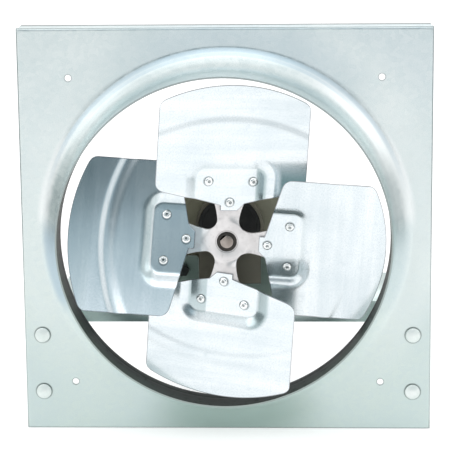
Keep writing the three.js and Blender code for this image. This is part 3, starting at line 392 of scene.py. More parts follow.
def platedMaterial(name, pale, deep, roughness, metallic=0.85, worn=brightWorn, headed=False):
    # bolts, nuts, screws and turned steel
    material, tree, shader, place = newMaterial(name, Metallic=metallic)
    handling = effect(tree, "handling", Place=place, Stain_Size=0.012, Scuff_Size=0.0015)
    tone = mixed(out(handling, "Stain") * 0.7, pale, deep)
    tone = mixed(out(effect(tree, "edge", Reach=0.0004), "Edge") * 0.5, tone, worn)
    if headed:  # painted shade round the foot of a head and in its dimple
        tone = mixed(attribute(tree, "outward") * 0.7, tone, headShade)
    surface(shader, tone, out(handling, "Scuff") * 0.15 + roughness, noise(place, 2500.0), 0.00002)
    return material


bladeFinish = {"pale": rgb(242, 247, 249), "deep": rgb(196, 210, 217), "shade": rgb(134, 161, 163),
               "cut": rgb(140, 142, 147), "rivetShadow": rgb(90, 104, 106), "roughness": 0.15, "metallic": 0.9,
               "rivets": ((0.0213, 0.0599), (0.0, 0.0394)), "contact": (0.0046, 0.0053, 1.0, 0.0),
               "cutEdge": (0.0003, 0.0009, 1.0, 0.0)}


def bladeMaterial(finish):  # rolled sheet, its lines running across each blade
    material, tree, shader, place = newMaterial("bladeSheet", Metallic=finish["metallic"])
    lay = attribute(tree, "rollingPlace", "Vector")
    brushed = effect(tree, "brushed", Place=lay, Lines=1500.0, Streaks=90.0)
    handling = effect(tree, "handling", Place=lay, Stain_Size=0.05, Scuff_Size=0.009)
    tone = mixed(out(brushed, "Streaks").band(0.3, 0.7) * 0.36, finish["pale"], finish["deep"])
    cloud = noise(lay, 620.0).band(0.4, 0.68)
    for dulled in (cloud * 0.3, out(handling, "Stain") * 0.3, out(handling, "Scuff") * 0.2):
        tone = mixed(dulled, tone, finish["deep"])
    x, y, z = split(lay)
    wall = attribute(tree, "pressed")
    bandStart, band, root = split(attribute(tree, "padTones", "Vector"))
    leading, tipWall, dark = split(attribute(tree, "sheetTones", "Vector"))
    # painted shade and painted reflections: darker on the pad, round its foot, at the trailing root corner,
    # on its walls and at the tip
    pad = x.band(bandStart, bandStart + 0.002) * wall.band(0.06, 0.3, 1.0, 0.0) * band
    foot = wall.between(0.0, 0.12, 0.15, 0.5) * 0.15
    corner = wall.band(0.98, 1.35) * x.band(0.036, 0.05) * z.band(0.06, 0.083, 1.0, 0.0) * root
    slope = wall.between(0.05, 0.3, 0.75, 1.05)
    leadingWall = slope * (x * -1.0).band(0.02, 0.034) * leading
    outerWall = slope * z.band(0.066, 0.072) * tipWall
    darkened = strongest((pad, foot, corner, leadingWall, outerWall, z.band(0.128, 0.136) * dark))
    tone = mixed(darkened, tone, finish["shade"])
    # painted shadow round the foot of each rivet
    rings = []
    for across, along in finish["rivets"]:
        beside, beyond = x.size() - across, z - along
        rings.append((beside * beside + beyond * beyond).root().band(*finish["contact"]))
    tone = mixed(strongest(rings) * 0.5, tone, finish["rivetShadow"])
    tone = mixed(attribute(tree, "fromEdge").band(*finish["cutEdge"]) * 0.8, tone, finish["cut"])
    rough = out(brushed, "Lines") * 0.08 + finish["roughness"] + out(handling, "Scuff") * 0.05
    surface(shader, tone, rough, out(brushed, "Lines"), 0.000006)
    return material


spiderFinish = {"pale": rgb(230, 228, 228), "deep": rgb(204, 202, 202), "leftArmShade": rgb(196, 206, 210),
                "scuffed": rgb(176, 172, 170), "hubShadow": rgb(110, 106, 102), "worn": rgb(120, 118, 116),
                "ring": (0.0105, 0.0108, 0.011, 0.0114)}


def spiderMaterial(finish):  # bare steel with heat and oil marks, a painted shadow round the hub and painted shade on the left arm
    material, tree, shader, place = newMaterial("spiderSteel", Metallic=0.8)
    handling = effect(tree, "handling", Place=place, Stain_Size=0.022, Scuff_Size=0.004)
    brushed = effect(tree, "brushed", Place=place, Lines=1100.0, Streaks=120.0)
    x, y, z = split(place)
    beside = x - 0.0025
    ring = (beside * beside + z * z).root().between(*finish["ring"])
    tone = mixed(out(handling, "Stain"), finish["pale"], finish["deep"])
    edge = out(effect(tree, "edge", Reach=0.0006), "Edge")
    leftArmShade = x.band(-0.024, -0.01, 0.7, 0.0)
    for share, colour in ((leftArmShade, "leftArmShade"), (out(handling, "Scuff") * 0.3, "scuffed"),
                          (ring * 0.55, "hubShadow"), (edge * 0.35, "worn")):
        tone = mixed(share, tone, finish[colour])
    lines = out(brushed, "Lines")
    surface(shader, tone, lines * 0.1 + 0.32, lines + out(handling, "Scuff"), 0.00003)
    return material


enamelFinish = {"pale": rgb(152, 147, 124), "deep": rgb(116, 112, 92), "worn": rgb(150, 147, 134),
                "litSide": rgb(190, 187, 166)}
# painted shade: the hangers get a darker copy of the motor's enamel
hangerFinish = {"pale": rgb(112, 106, 91), "deep": rgb(86, 81, 68), "worn": rgb(104, 100, 88),
                "litSide": rgb(152, 147, 132)}


def enamelMaterial(name, finish):  # sprayed paint with a slight orange peel, and painted light that makes its right side lighter
    material, tree, shader, place = newMaterial(name, Metallic=0.0)
    handling = effect(tree, "handling", Place=place, Stain_Size=0.04, Scuff_Size=0.005)
    tone = mixed(out(handling, "Stain"), finish["pale"], finish["deep"])
    tone = mixed(split(place)[0].band(0.0, 0.035) * 0.5, tone, finish["litSide"])
    tone = mixed(out(effect(tree, "edge", Reach=0.0007), "Edge") * 0.45, tone, finish["worn"])
    surface(shader, tone, out(handling, "Scuff") * 0.15 + 0.5, noise(place, 700.0, 1.0), 0.00008)
    return material


def rubberMaterial():
    material, tree, shader, place = newMaterial("blackRubber", Metallic=0.0)
    handling = effect(tree, "handling", Place=place, Stain_Size=0.015, Scuff_Size=0.002)
    tone = mixed(out(handling, "Stain"), rgb(30, 30, 30), rgb(44, 44, 42))
    surface(shader, tone, out(handling, "Scuff") * 0.15 + 0.62, noise(place, 1800.0, 3.0), 0.00006)
    return material


def laminatedMaterial():  # thin sheets stacked along the shaft
    material, tree, shader, place = newMaterial("laminations", Metallic=0.8)
    wave = {"Vector": place, "Scale": 320.0, "Distortion": 0.4}
    layers = out(put(tree, "TexWave", wave, bands_direction="Y"), "Fac")
    surface(shader, mixed(layers, rgb(96, 99, 102), rgb(138, 141, 143)), layers * 0.2 + 0.35, layers, 0.0001)
    return material


def windingMaterial():  # varnished wire laid round the bore
    material, tree, shader, place = newMaterial("windingWire", Metallic=0.7)
    x, y, z = split(place)
    laid = joined(tree, (x * x + z * z).root(), y, 0.0)
    wave = {"Vector": laid, "Scale": 260.0, "Distortion": 1.5}
    wires = out(put(tree, "TexWave", wave, bands_direction="DIAGONAL"), "Fac")
    surface(shader, mixed(wires, rgb(98, 52, 28), rgb(186, 112, 66)), wires * 0.15 + 0.3, wires, 0.0002)
    return material


finishes = {
    "panel": galvanisedMaterial("panelSheet", zincSheet, drawnSheet),
    "galvanised": galvanisedMaterial("galvanisedSheet", zincSheet),
    "shaded": galvanisedMaterial("shadedSheet", shadedSheet),
    "innerWall": innerWallMaterial(innerWall),
    "zinc": platedMaterial("zincPlate", rgb(244, 250, 248), rgb(216, 228, 224), 0.3),
    "blade": bladeMaterial(bladeFinish),
    "rivet": platedMaterial("rivetSteel", rgb(250, 252, 252), rgb(206, 212, 212), 0.2, 0.9,
                            rgb(250, 252, 252), headed=True),
    "spider": spiderMaterial(spiderFinish),
    "shaft": platedMaterial("groundSteel", rgb(170, 162, 156), rgb(126, 118, 112), 0.3),
    "hub": platedMaterial("blackedSteel", rgb(56, 53, 49), rgb(30, 28, 26), 0.4, 0.4, rgb(96, 92, 86)),
    "darkBolt": platedMaterial("blackedBolt", rgb(58, 60, 58), rgb(28, 30, 30), 0.45, 0.4, rgb(90, 92, 90)),
    "crown": platedMaterial("crownZinc", rgb(246, 252, 250), rgb(224, 236, 232), 0.46, 0.6,
                            rgb(236, 242, 240), headed=True),
    "enamel": enamelMaterial("motorEnamel", enamelFinish),
    "hanger": enamelMaterial("hangerEnamel", hangerFinish),
    "rubber": rubberMaterial(),
    "laminations": laminatedMaterial(),
    "copper": windingMaterial(),
    "bronze": platedMaterial("porousBronze", rgb(176, 142, 92), rgb(128, 98, 58), 0.4)}
print("finishes:", len(finishes))


# Making and finishing meshes; their sizes are in millimetres


def rawMesh(name, points, faces):
    mesh = bpy.data.meshes.new(name)
    mesh.from_pydata([Vector(point) * mm for point in points], [], list(faces))
    mesh.update()
    return mesh


def tidyMesh(mesh):  # doubles merged, faces turned outwards
    shape = bmesh.new()
    shape.from_mesh(mesh)
    bmesh.ops.remove_doubles(shape, verts=shape.verts, dist=1e-6)
    bmesh.ops.dissolve_degenerate(shape, edges=shape.edges, dist=1e-7)
    bmesh.ops.recalc_face_normals(shape, faces=shape.faces)
    shape.to_mesh(mesh)
    shape.free()
    return mesh


def baked(thing):  # modifiers made real
    graph = bpy.context.evaluated_depsgraph_get()
    shown = thing.evaluated_get(graph)
    mesh = bpy.data.meshes.new_from_object(shown, preserve_all_data_layers=True, depsgraph=graph)
    thing.modifiers.clear()
    thing.data = mesh
    return thing


def modified(thing, kind, **settings):
    modifier = thing.modifiers.new("change", kind)
    for name, value in settings.items():
        setattr(modifier, name, value)
    return baked(thing)


def bevelled(thing, width, angle=35):
    return modified(thing, "BEVEL", width=width * mm, segments=2, limit_method="ANGLE",
                    angle_limit=math.radians(angle), use_clamp_overlap=True)


def combined(base, mesh, operation="DIFFERENCE"):  # boolean of an object with a mesh
    tool = newObject("tool", mesh)
    modified(base, "BOOLEAN", operation=operation, solver="EXACT", object=tool)
    bpy.data.objects.remove(tool)
    return base


def finished(thing, finish, body, replaced, sharp=32, keepMaterials=False):
    thing.data.shade_smooth()
    thing.data.set_sharp_from_angle(angle=math.radians(sharp))
    if not keepMaterials:
        thing.data.materials.clear()
        thing.data.materials.append(finishes[finish])
    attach(thing, body)
    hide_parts(*replaced)
    return thing


def roundFaces(around, count, closed=True):  # between copies of one row of points, all the way round
    for step in range(around):
        here, there = step * count, (step + 1) % around * count
        for i in range(count if closed else count - 1):
            j = (i + 1) % count
            yield here + i, here + j, there + j, there + i


def turnedMesh(profile, sides, closed=True, flat=None):
    # profile of (radius, y) turned about Y; flat is the distance of six flats, if it has them
    points = []
    for step in range(sides):
        angle = 2 * math.pi * step / sides
        within = (angle + math.pi / 6) % (math.pi / 3) - math.pi / 6
        limit = flat / math.cos(within) if flat else math.inf
        across, up = math.sin(angle), math.cos(angle)
        points += [(min(radius, limit) * across, y, min(radius, limit) * up) for radius, y in profile]
    return tidyMesh(rawMesh("turned", points, roundFaces(sides, len(profile), closed)))


def blockMesh(low, high):
    corners = [(x, y, z) for x in (low[0], high[0]) for y in (low[1], high[1]) for z in (low[2], high[2])]
    faces = [(0, 1, 3, 2), (4, 6, 7, 5), (0, 4, 5, 1), (2, 3, 7, 6), (0, 2, 6, 4), (1, 5, 7, 3)]
    return tidyMesh(rawMesh("block", corners, faces))


def along(axis, spot):  # a place whose own +Y points along axis
    turn = Vector((0, 1, 0)).rotation_difference(Vector(axis)).to_matrix().to_4x4()
    return Matrix.Translation(Vector(spot) * mm) @ turn


def barMesh(start, end, radius, sides=32):  # a round bar between two points
    start, end = Vector(start), Vector(end)
    length = (end - start).length
    mesh = turnedMesh([(0, 0), (radius, 0), (radius, length), (0, length)], sides, False)
    mesh.transform(along(end - start, start))
    return mesh


def fused(meshes):  # meshes joined as they are, without a boolean
    shape = bmesh.new()
    for mesh in meshes:
        shape.from_mesh(mesh)
    whole = bpy.data.meshes.new("fused")
    shape.to_mesh(whole)
    shape.free()
    return whole


def boxOf(node):
    return [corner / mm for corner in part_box(node)]


def picked(sizes, names):
    return [sizes[name] for name in names.split()]


def centreOf(node):
    low, high = boxOf(node)
    return (low + high) / 2


def numbered(name, count):
    return [f"{name}_{number}" for number in range(1, count + 1)]


# Wall panel with its collar: one section swept round from the collar's circle to the panel's square

panelSizes = {"half": 203.2, "sheet": 1.6, "flange": 25.4, "edgeBend": 2.4, "collarOuter": 163.1,
              "collarReach": 58.8, "bendStart": 184.5, "stepsAround": 288, "bead": 0.25, "beadAt": 32.0,
              "beadHalf": 3.0, "cornerCut": 2.2, "cutFrom": 4.5, "cutTo": 30.0,
              "holeRadius": 3.2, "holes": (153.1, 154.0), "squareHalf": 3.5,
              "holeStart": -5.0, "holeEnd": 6.0,
              # turn of the sheet, in degrees, at shares of the way along the collar's bend
              "turns": [(0.0, 0), (0.02, 20), (0.2, 28), (0.36, 38), (0.41, 36.5), (0.47, 43), (0.63, 60),
                        (0.81, 80), (0.93, 88), (1.0, 90)]}


def turnAt(turns, share):
    for (low, first), (high, second) in zip(turns, turns[1:]):
        if share <= high:
            return math.radians(first + (second - first) * (share - low) / (high - low))


def collarBend(sizes, steps=40):  # (radius, y, turn) from the flat of the panel to the collar's wall
    turns = [turnAt(sizes["turns"], (step + 0.5) / steps) for step in range(steps)]
    length = (sizes["bendStart"] - sizes["collarOuter"]) / sum(math.cos(turn) for turn in turns)
    radius, y = sizes["bendStart"], 0.0
    rows = [(radius, y, 0.0)]
    for step, turn in enumerate(turns):
        radius -= length * math.cos(turn)
        y -= length * math.sin(turn)
        rows.append((radius, y, turnAt(sizes["turns"], (step + 1) / steps)))
    return rows


def panelSide(sizes, offset, wallSteps=24, edgeSteps=5):
    # rows of (circle radius, half of the square, share of the way out, y)
    bend = collarBend(sizes)
    reach, start, edge = picked(sizes, "collarReach bendStart edgeBend")
    inner, radius = sizes["half"] - edge, edge - offset
    rows = []
    for step in range(wallSteps):
        y = -reach + (bend[-1][1] + reach) * step / wallSteps
        near = max(0.0, 1 - abs(-y - sizes["beadAt"]) / sizes["beadHalf"])
        bead = sizes["bead"] * near * near * (3 - 2 * near)
        rows.append((sizes["collarOuter"] - offset + bead, 0.0, 0.0, y))
    for away, y, turn in bend[::-1]:
        rows.append((away - offset * math.sin(turn), 0.0, 0.0, y + offset * math.cos(turn)))
    rows += [(start, inner, share, offset) for share in (0.05, 0.2, 0.45, 0.7, 0.9, 0.98)]
    for step in range(edgeSteps + 1):
        turn = math.pi / 2 * step / edgeSteps
        rows.append((start, inner + radius * math.sin(turn), 1.0, edge - radius * math.cos(turn)))
    for share in (0.12, 0.55, 0.97, 1.0):
        rows.append((start, inner + radius, 1.0, edge + (sizes["flange"] - edge) * share))
    return rows


def panelCutters(sizes):  # screw holes, open corners of the flanges, square holes for the carriage bolts
    half, cut, square, first, last = picked(sizes, "half cornerCut squareHalf holeStart holeEnd")
    cutters = []
    for x in (-1, 1):
        for z in (-1, 1):
            across, up = x * sizes["holes"][0], z * sizes["holes"][1]
            cutters.append(barMesh((across, first, up), (across, last, up), sizes["holeRadius"], 40))
            cutters.append(blockMesh((x * half - cut, sizes["cutFrom"], z * half - cut),
                                     (x * half + cut, sizes["cutTo"], z * half + cut)))
    for node in numbered("carriage_bolt", 4):
        x, y, z = centreOf(node)
        cutters.append(blockMesh((x - square, first, z - square), (x + square, last, z + square)))
    return fused(cutters)


def wallPanel(sizes):
    front = panelSide(sizes, 0.0)
    loop = front + panelSide(sizes, sizes["sheet"])[::-1]
    around, count = sizes["stepsAround"], len(loop)
    points = []
    for step in range(around):
        angle = 2 * math.pi * step / around
        across, up = math.sin(angle), math.cos(angle)
        square = 1 / max(abs(across), abs(up))
        for circle, half, share, y in loop:
            away = circle * (1 - share) + half * square * share
            points.append((away * across, y, away * up))
    mesh = rawMesh("wallPanel", points, roundFaces(around, count))
    for finish in ("panel", "innerWall"):
        mesh.materials.append(finishes[finish])
    inside = [int(len(front) <= i < count - 1 and circle < sizes["bendStart"] - 2 and share == 0)
              for i, (circle, half, share, y) in enumerate(loop)]
    mesh.polygons.foreach_set("material_index", inside * around)
    panel = combined(newObject("wallPanel", tidyMesh(mesh)), panelCutters(sizes))
    return finished(panel, "panel", "frame", ["wall_panel"], keepMaterials=True)


print("wall panel:", len(wallPanel(panelSizes).data.polygons), "faces")

# Blades: one formed sheet, shaped by a Geometry Nodes tree and turned to each of its four places

bladeSizes = {"tip": 154.0, "lead": 70.5, "trail": 72.5, "shoulder": 52.0, "neckOut": 38.0,
              "neckHalf": 14.5, "rootOut": 31.0, "tabHalf": 7.6, "tabStep": 5.2, "stepFade": 14.0,
              "tipCorner": 6.0, "rootCorner": 9.0, "rows": 112, "edge": 0.35}
formSizes = {"Slope": 0.331, "Camber Radius": 0.61, "Rise": 0.0033, "Pad Front": -0.0455,
             "Pad Slope": 0.3146, "Pad Reach": 0.071, "Pad Half": 0.032, "Pad Wall": 0.0135,
             "Pad Ease": 0.0025, "Pad Corner": 0.008, "Rib Reach": 0.1168, "Rib Curve": 0.165,
             "Rib Outside": 0.009, "Rib Inside": 0.011, "Sheet": 0.0016}
# painted shade on each blade, and how deep its rib is pressed: top, right, bottom, left
toneNames = ("Band Start", "Band", "Root", "Leading", "Tip Wall", "Dark", "Rib Height")
bladeTones = [dict(zip(toneNames, tones)) for tones in (
    (0.0235, 0.6, 1.0, 0.0, 0.0, 0.0, 0.0008), (0.012, 0.2, 0.1, 0.0, 0.0, 0.0, 0.0012),
    (0.0155, 0.5, 0.1, 0.55, 0.0, 0.0, 0.0009), (0.026, 0.2, 0.1, 0.0, 0.45, 0.15, 0.0016))]
shaftX = 0.0025
restTurn = math.radians(4.2)


def bladeColumns(sizes, half, step=1.45, edgeSteps=10):
    tab, neck, corner = picked(sizes, "tabHalf neckHalf rootCorner")
    rest = half - corner - neck
    count = int(rest / step)
    inner = [0.0, 2.0, 4.0, 6.0, tab, tab + 0.15, 9.0, 10.5, 12.0, 13.3, neck]
    inner += [neck + rest * i / count for i in range(1, count + 1)]
    return inner + [half - corner * (1 - i / edgeSteps) ** 2 for i in range(1, edgeSteps + 1)]


def curveAt(start, bend, end, share):
    return (1 - share) ** 2 * start + 2 * share * (1 - share) * bend + share * share * end


def bladeEnds(sizes, x):  # where the blade starts and ends along its arm, at a distance across it
    half = sizes["trail"] if x > 0 else sizes["lead"]
    x = abs(x)
    tip, shoulder, neckOut, neckHalf = picked(sizes, "tip shoulder neckOut neckHalf")
    rootOut, tabHalf, tipCorner, rootCorner = picked(sizes, "rootOut tabHalf tipCorner rootCorner")
    slope = (shoulder - neckOut) / (half - neckHalf)
    if x <= tabHalf:
        low = rootOut
    elif x <= neckHalf:
        low = rootOut + (x - tabHalf) / (neckHalf - tabHalf) * (neckOut - rootOut)
    elif x <= half - rootCorner:
        low = neckOut + (x - neckHalf) * slope
    else:
        share = 1 - math.sqrt(max(0.0, half - x) / rootCorner)
        low = curveAt(shoulder - slope * rootCorner, shoulder, shoulder + rootCorner, share)
    if x <= half - tipCorner:
        return low, math.sqrt(tip ** 2 - x ** 2)
    share = 1 - math.sqrt(max(0.0, half - x) / tipCorner)
    end = math.sqrt(tip ** 2 - half ** 2)
    return low, curveAt(math.sqrt(tip ** 2 - (half - tipCorner) ** 2), end, end - tipCorner, share)


def rootStep(sizes, x):  # the edge beside the tab stands further out on the leading side
    past = -x - sizes["tabHalf"]
    width = sizes["neckHalf"] - sizes["tabHalf"]
    return sizes["tabStep"] * (1 - past / width) if 0 < past < width else 0.0


def flatBlade(sizes):
    columns = [-x for x in bladeColumns(sizes, sizes["lead"])[:0:-1]] + bladeColumns(sizes, sizes["trail"])
    rows = sizes["rows"]
    points, faces, fromEdge = [], [], []
    for column, x in enumerate(columns):
        low, high = bladeEnds(sizes, x)
        side = sizes["trail"] - x if x > 0 else x + sizes["lead"]
        for row in range(rows + 1):
            reach = low + (high - low) * row / rows
            fromEdge.append(min(reach - low, high - reach, side) * mm)
            fade = max(0.0, 1 - (reach - low) / sizes["stepFade"])
            points.append((x, 0.0, reach + rootStep(sizes, x) * fade))
            if column and row:
                last = len(points) - 1
                faces.append((last - rows - 2, last - 1, last, last - rows - 1))
    flat = rawMesh("flatBlade", points, faces)
    flat.attributes.new("fromEdge", "FLOAT", "POINT").data.foreach_set("value", fromEdge)
    return flat


def shaped(tree, kind, inputs=None, output=0, **settings):  # output of a geometry node
    return out(put(tree, kind, inputs, "GeometryNode", **settings), output)


def painted(tree, geometry, given, result):  # made real and given its material, as the tree's result
    real = shaped(tree, "RealizeInstances", {"Geometry": geometry})
    plug(shaped(tree, "SetMaterial", {"Geometry": real, "Material": out(given, "Finish")}), result.inputs[0])
    return tree


def formTree(sizes):
    inputs = [("Flat", "Geometry", None)] + [(name, "Float", value) for name, value in sizes.items()]
    inputs += [("Turn", "Float", 0.0), ("Shaft", "Float", 0.0), ("Finish", "Material", None)]
    tree, given, result = newGroup("formedBlade", "GeometryNodeTree", inputs, [("Blade", "Geometry")])
    size = {name: out(given, name) for name in sizes}
    place = shaped(tree, "InputPosition")
    x, y, z = split(place)
    main = x * size["Slope"] - size["Rise"] - x * x / (size["Camber Radius"] * 2.0)
    pad = x * size["Pad Slope"]
    beside = (x.size() - size["Pad Half"] + size["Pad Corner"]).most(0.0)
    beyond = (z - size["Pad Reach"] + size["Pad Corner"]).most(0.0)
    away = ((beside * beside + beyond * beyond).root() - size["Pad Corner"]).most(0.0)
    eased = (away * away + size["Pad Ease"] * size["Pad Ease"]).root() - size["Pad Ease"]
    left = (eased / (size["Pad Wall"] - size["Pad Ease"] * 0.85)).least(1.0).oneMinus()
    share = (left * left).oneMinus()
    upRib = z - (size["Rib Reach"] - size["Rib Curve"])
    ribAway = (x * x + upRib * upRib).root() - size["Rib Curve"]
    outward, inward = (ribAway / size["Rib Outside"]).oneMinus(), ribAway / size["Rib Inside"] + 1.0
    rib = outward.least(inward).band(0.0, 1.0)
    depth = size["Pad Front"] + pad + (main - pad) * share - rib * size["Rib Height"]
    sheet = out(given, "Flat")
    for name, kind, value in (
            ("rollingPlace", "FLOAT_VECTOR", place), ("pressed", "FLOAT", away / size["Pad Wall"]),
            ("padTones", "FLOAT_VECTOR", joined(tree, size["Band Start"], size["Band"], size["Root"])),
            ("sheetTones", "FLOAT_VECTOR", joined(tree, size["Leading"], size["Tip Wall"], size["Dark"]))):
        sheet = shaped(tree, "StoreNamedAttribute", {"Geometry": sheet, "Name": name, "Value": value},
                       data_type=kind, domain="POINT")
    formed = shaped(tree, "SetPosition", {"Geometry": sheet, "Position": joined(tree, x, depth, z)})
    thick = shaped(tree, "ExtrudeMesh", {"Mesh": formed, "Offset": joined(tree, 0.0, 1.0, 0.0),
                                         "Offset Scale": size["Sheet"], "Individual": False})
    whole = put(tree, "JoinGeometry", None, "GeometryNode")
    for part in (thick, shaped(tree, "FlipFaces", {"Mesh": formed})):
        plug(part, whole.inputs[0])
    sealed = shaped(tree, "MergeByDistance", {"Geometry": out(whole), "Distance": 0.00001})
    moved, turned = joined(tree, out(given, "Shaft"), 0.0, 0.0), joined(tree, 0.0, out(given, "Turn"), 0.0)
    blade = shaped(tree, "Transform", {"Geometry": sealed, "Translation": moved, "Rotation": turned})
    return painted(tree, blade, given, result)


def shapedByTree(name, mesh, tree, values):
    thing = newObject(name, mesh)
    modifier = thing.modifiers.new("shape", "NODES")
    modifier.node_group = tree
    for item in tree.interface.items_tree:
        if item.item_type == "SOCKET" and item.in_out == "INPUT" and item.name in values:
            modifier[item.identifier] = values[item.name]
    return baked(thing)


def fourBlades(sizes):
    tree = formTree({**formSizes, **bladeTones[0]})
    flat = flatBlade(sizes)
    for number, tones in enumerate(bladeTones):
        turn = restTurn + number * math.pi / 2
        values = {"Turn": turn, "Shaft": shaftX, "Finish": finishes["blade"], **tones}
        blade = shapedByTree(f"blade{number + 1}", flat.copy(), tree, values)
        tidyMesh(blade.data)
        bevelled(blade, sizes["edge"], 60)
        finished(blade, "blade", "rotor", [f"blade_{number + 1}"], sharp=40)
        print("blade", number + 1, "has", len(blade.data.polygons), "faces")


fourBlades(bladeSizes)

# Spider

spiderSizes = {"sheet": 3.0, "front": -43.6, "slope": 0.3146, "bore": 9.75, "armHalf": 10.5, "fillet": 10.3,
               "flatReach": 21.0, "twistFrom": 19.3, "twisted": 27.0, "neckOut": 38.0, "neckHalf": 14.2,
               "plateStart": 50.0, "plateHalf": 28.0, "plateReach": 68.0, "corner": 5.0, "shoulder": 1.6,
               "columns": 28, "edge": 0.4}


def armHalfWidth(sizes, z):
    start, neckOut, neck = picked(sizes, "flatReach neckOut neckHalf")
    half, reach, corner = picked(sizes, "plateHalf plateReach corner")
    plate, shoulder = sizes["plateStart"], sizes["shoulder"]
    if z <= neckOut:
        share = max(0.0, (z - start) / (neckOut - start))
        return sizes["armHalf"] + (neck - sizes["armHalf"]) * share ** 1.6
    if z <= plate - corner / 2:
        return neck + (half - shoulder - neck) * (z - neckOut) / (plate - corner / 2 - neckOut)
    if z <= plate + corner:
        return half - shoulder * (1 - (z - plate + corner / 2) / (corner * 1.5)) ** 2
    rest = z - reach + corner
    return half if rest <= 0 else half - corner + math.sqrt(max(0.0, corner ** 2 - rest ** 2))


def armRows(sizes, filletSteps=8, cornerSteps=8):  # rows of (x, z) from the bore to the end of one arm
    columns, fillet, corner, start = picked(sizes, "columns fillet corner flatReach")
    shares = [2 * i / columns - 1 for i in range(columns + 1)]

    def arc(away, half):
        return [(away * math.sin(share * half), away * math.cos(share * half)) for share in shares]

    rows = [arc(sizes["bore"], math.pi / 4)]
    centre = sizes["armHalf"] + fillet
    for step in range(filletSteps + 1):
        turn = math.pi / 4 * (1 + step / filletSteps)
        edgeX, edgeZ = centre - fillet * math.sin(turn), centre - fillet * math.cos(turn)
        rows.append(arc(math.hypot(edgeX, edgeZ), math.atan2(edgeX, edgeZ)))
    last = rows[-1][columns // 2][1]
    outs = [start + i for i in range(18)]
    outs += [39, 41, 43, 45, 46, 47, 47.5, 48.5, 50, 51.5, 53, 55, 57, 59, 61, 63]
    for step in range(1, cornerSteps + 1):
        outs.append(sizes["plateReach"] - corner * (1 - math.sin(math.pi / 2 * step / cornerSteps)))
    for z in outs:
        bulge = max(0.0, 1 - (z - start) / 6.0) * (last - centre) * 0.9
        half = armHalfWidth(sizes, z)
        rows.append([(share * half, z + bulge * (1 - share * share)) for share in shares])
    return rows


def spiderMesh(sizes):
    rows = armRows(sizes)
    points, faces = [], []
    for back in (0.0, sizes["sheet"]):
        for number in range(4):
            turn = number * math.pi / 2 + restTurn
            for x, z in (spot for row in rows for spot in row):
                twist = (math.hypot(x, z) - sizes["twistFrom"]) / (sizes["twisted"] - sizes["twistFrom"])
                twist = min(1.0, max(0.0, twist))
                y = sizes["front"] + back + twist * twist * (3 - 2 * twist) * sizes["slope"] * x
                points.append((x * math.cos(turn) + z * math.sin(turn) + shaftX / mm, y,
                               z * math.cos(turn) - x * math.sin(turn)))
    width, height = len(rows[0]), len(rows)
    cells = [(a, a + 1, a + width + 1, a + width) for row in range(height - 1)
             for a in range(row * width, row * width + width - 1)]
    rims = [(a, a + 1) for top in (0, (height - 1) * width) for a in range(top, top + width - 1)]
    for row in range(1, height - 1):
        rims += [(row * width + side, (row + 1) * width + side) for side in (0, width - 1)]
    for number in range(4):
        near, far = number * width * height, (4 + number) * width * height
        for cell in cells:
            faces += [[near + i for i in cell], [far + i for i in cell[::-1]]]
        faces += [(near + a, near + b, far + b, far + a) for a, b in rims]
    return tidyMesh(rawMesh("propellerSpider", points, faces))


spider = bevelled(newObject("propellerSpider", spiderMesh(spiderSizes)), spiderSizes["edge"], 55)
finished(spider, "spider", "rotor", ["propeller_spider"], sharp=38)
print("spider:", len(spider.data.polygons), "faces")

# Rivets, bolts and screws: one tree sets a shape at each of its places


def scatterTree():
    inputs = [("Places", "Geometry", None), ("Shape", "Object", None), ("Finish", "Material", None)]
    tree, given, result = newGroup("setAtPlaces", "GeometryNodeTree", inputs, [("Set", "Geometry")])
    source = {"Object": out(given, "Shape")}
    shape = shaped(tree, "ObjectInfo", source, "Geometry", transform_space="ORIGINAL")
    lean = shaped(tree, "InputNamedAttribute", {"Name": "lean"}, data_type="FLOAT_VECTOR")
    points = shaped(tree, "MeshToPoints", {"Mesh": out(given, "Places")})
    copies = shaped(tree, "InstanceOnPoints", {"Points": points, "Instance": shape, "Rotation": lean})
    return painted(tree, copies, given, result)


setAtPlaces = scatterTree()


def fastenerSet(name, shape, places, finish, replaced, body="frame", sharp=30):
    # places are matrices; the shape is a mesh whose bolt points along +Y from the seat of its head at y = 0
    spots = rawMesh(name, [place.to_translation() / mm for place in places], [])
    lean = spots.attributes.new("lean", "FLOAT_VECTOR", "POINT")
    for mark, place in zip(lean.data, places):
        mark.vector = place.to_euler("XYZ")
    template = newObject(name + "Shape", shape)
    thing = shapedByTree(name, spots, setAtPlaces, {"Shape": template, "Finish": finishes[finish]})
    bpy.data.objects.remove(template)
    finished(thing, finish, body, replaced, sharp=sharp)


def rimmed(profile, corner=0.25, steps=2):  # rounds the corners of a profile of (radius, y)
    rounded = []
    for i, (radius, y) in enumerate(profile):
        if radius <= 0 or i in (0, len(profile) - 1):
            rounded.append((radius, y))
            continue
        here = Vector((radius, y))
        before, after = Vector(profile[i - 1]) - here, Vector(profile[i + 1]) - here
        reach = min(corner, before.length * 0.4, after.length * 0.4)
        start, end = here + before.normalized() * reach, here + after.normalized() * reach
        rounded += [tuple(curveAt(start, here, end, step / steps)) for step in range(steps + 1)]
    return rounded


def hexMesh(radius, y0, y1, chamfer=0.9):  # radius reaches the corners; both ends chamfered
    flat = radius * math.cos(math.pi / 6)
    end, slope = flat * 0.97, chamfer * 0.45
    profile = [(0, y0), (end, y0), (radius, y0 + slope), (radius, y1 - slope), (end, y1), (0, y1)]
    return turnedMesh(profile, 48, False, flat)


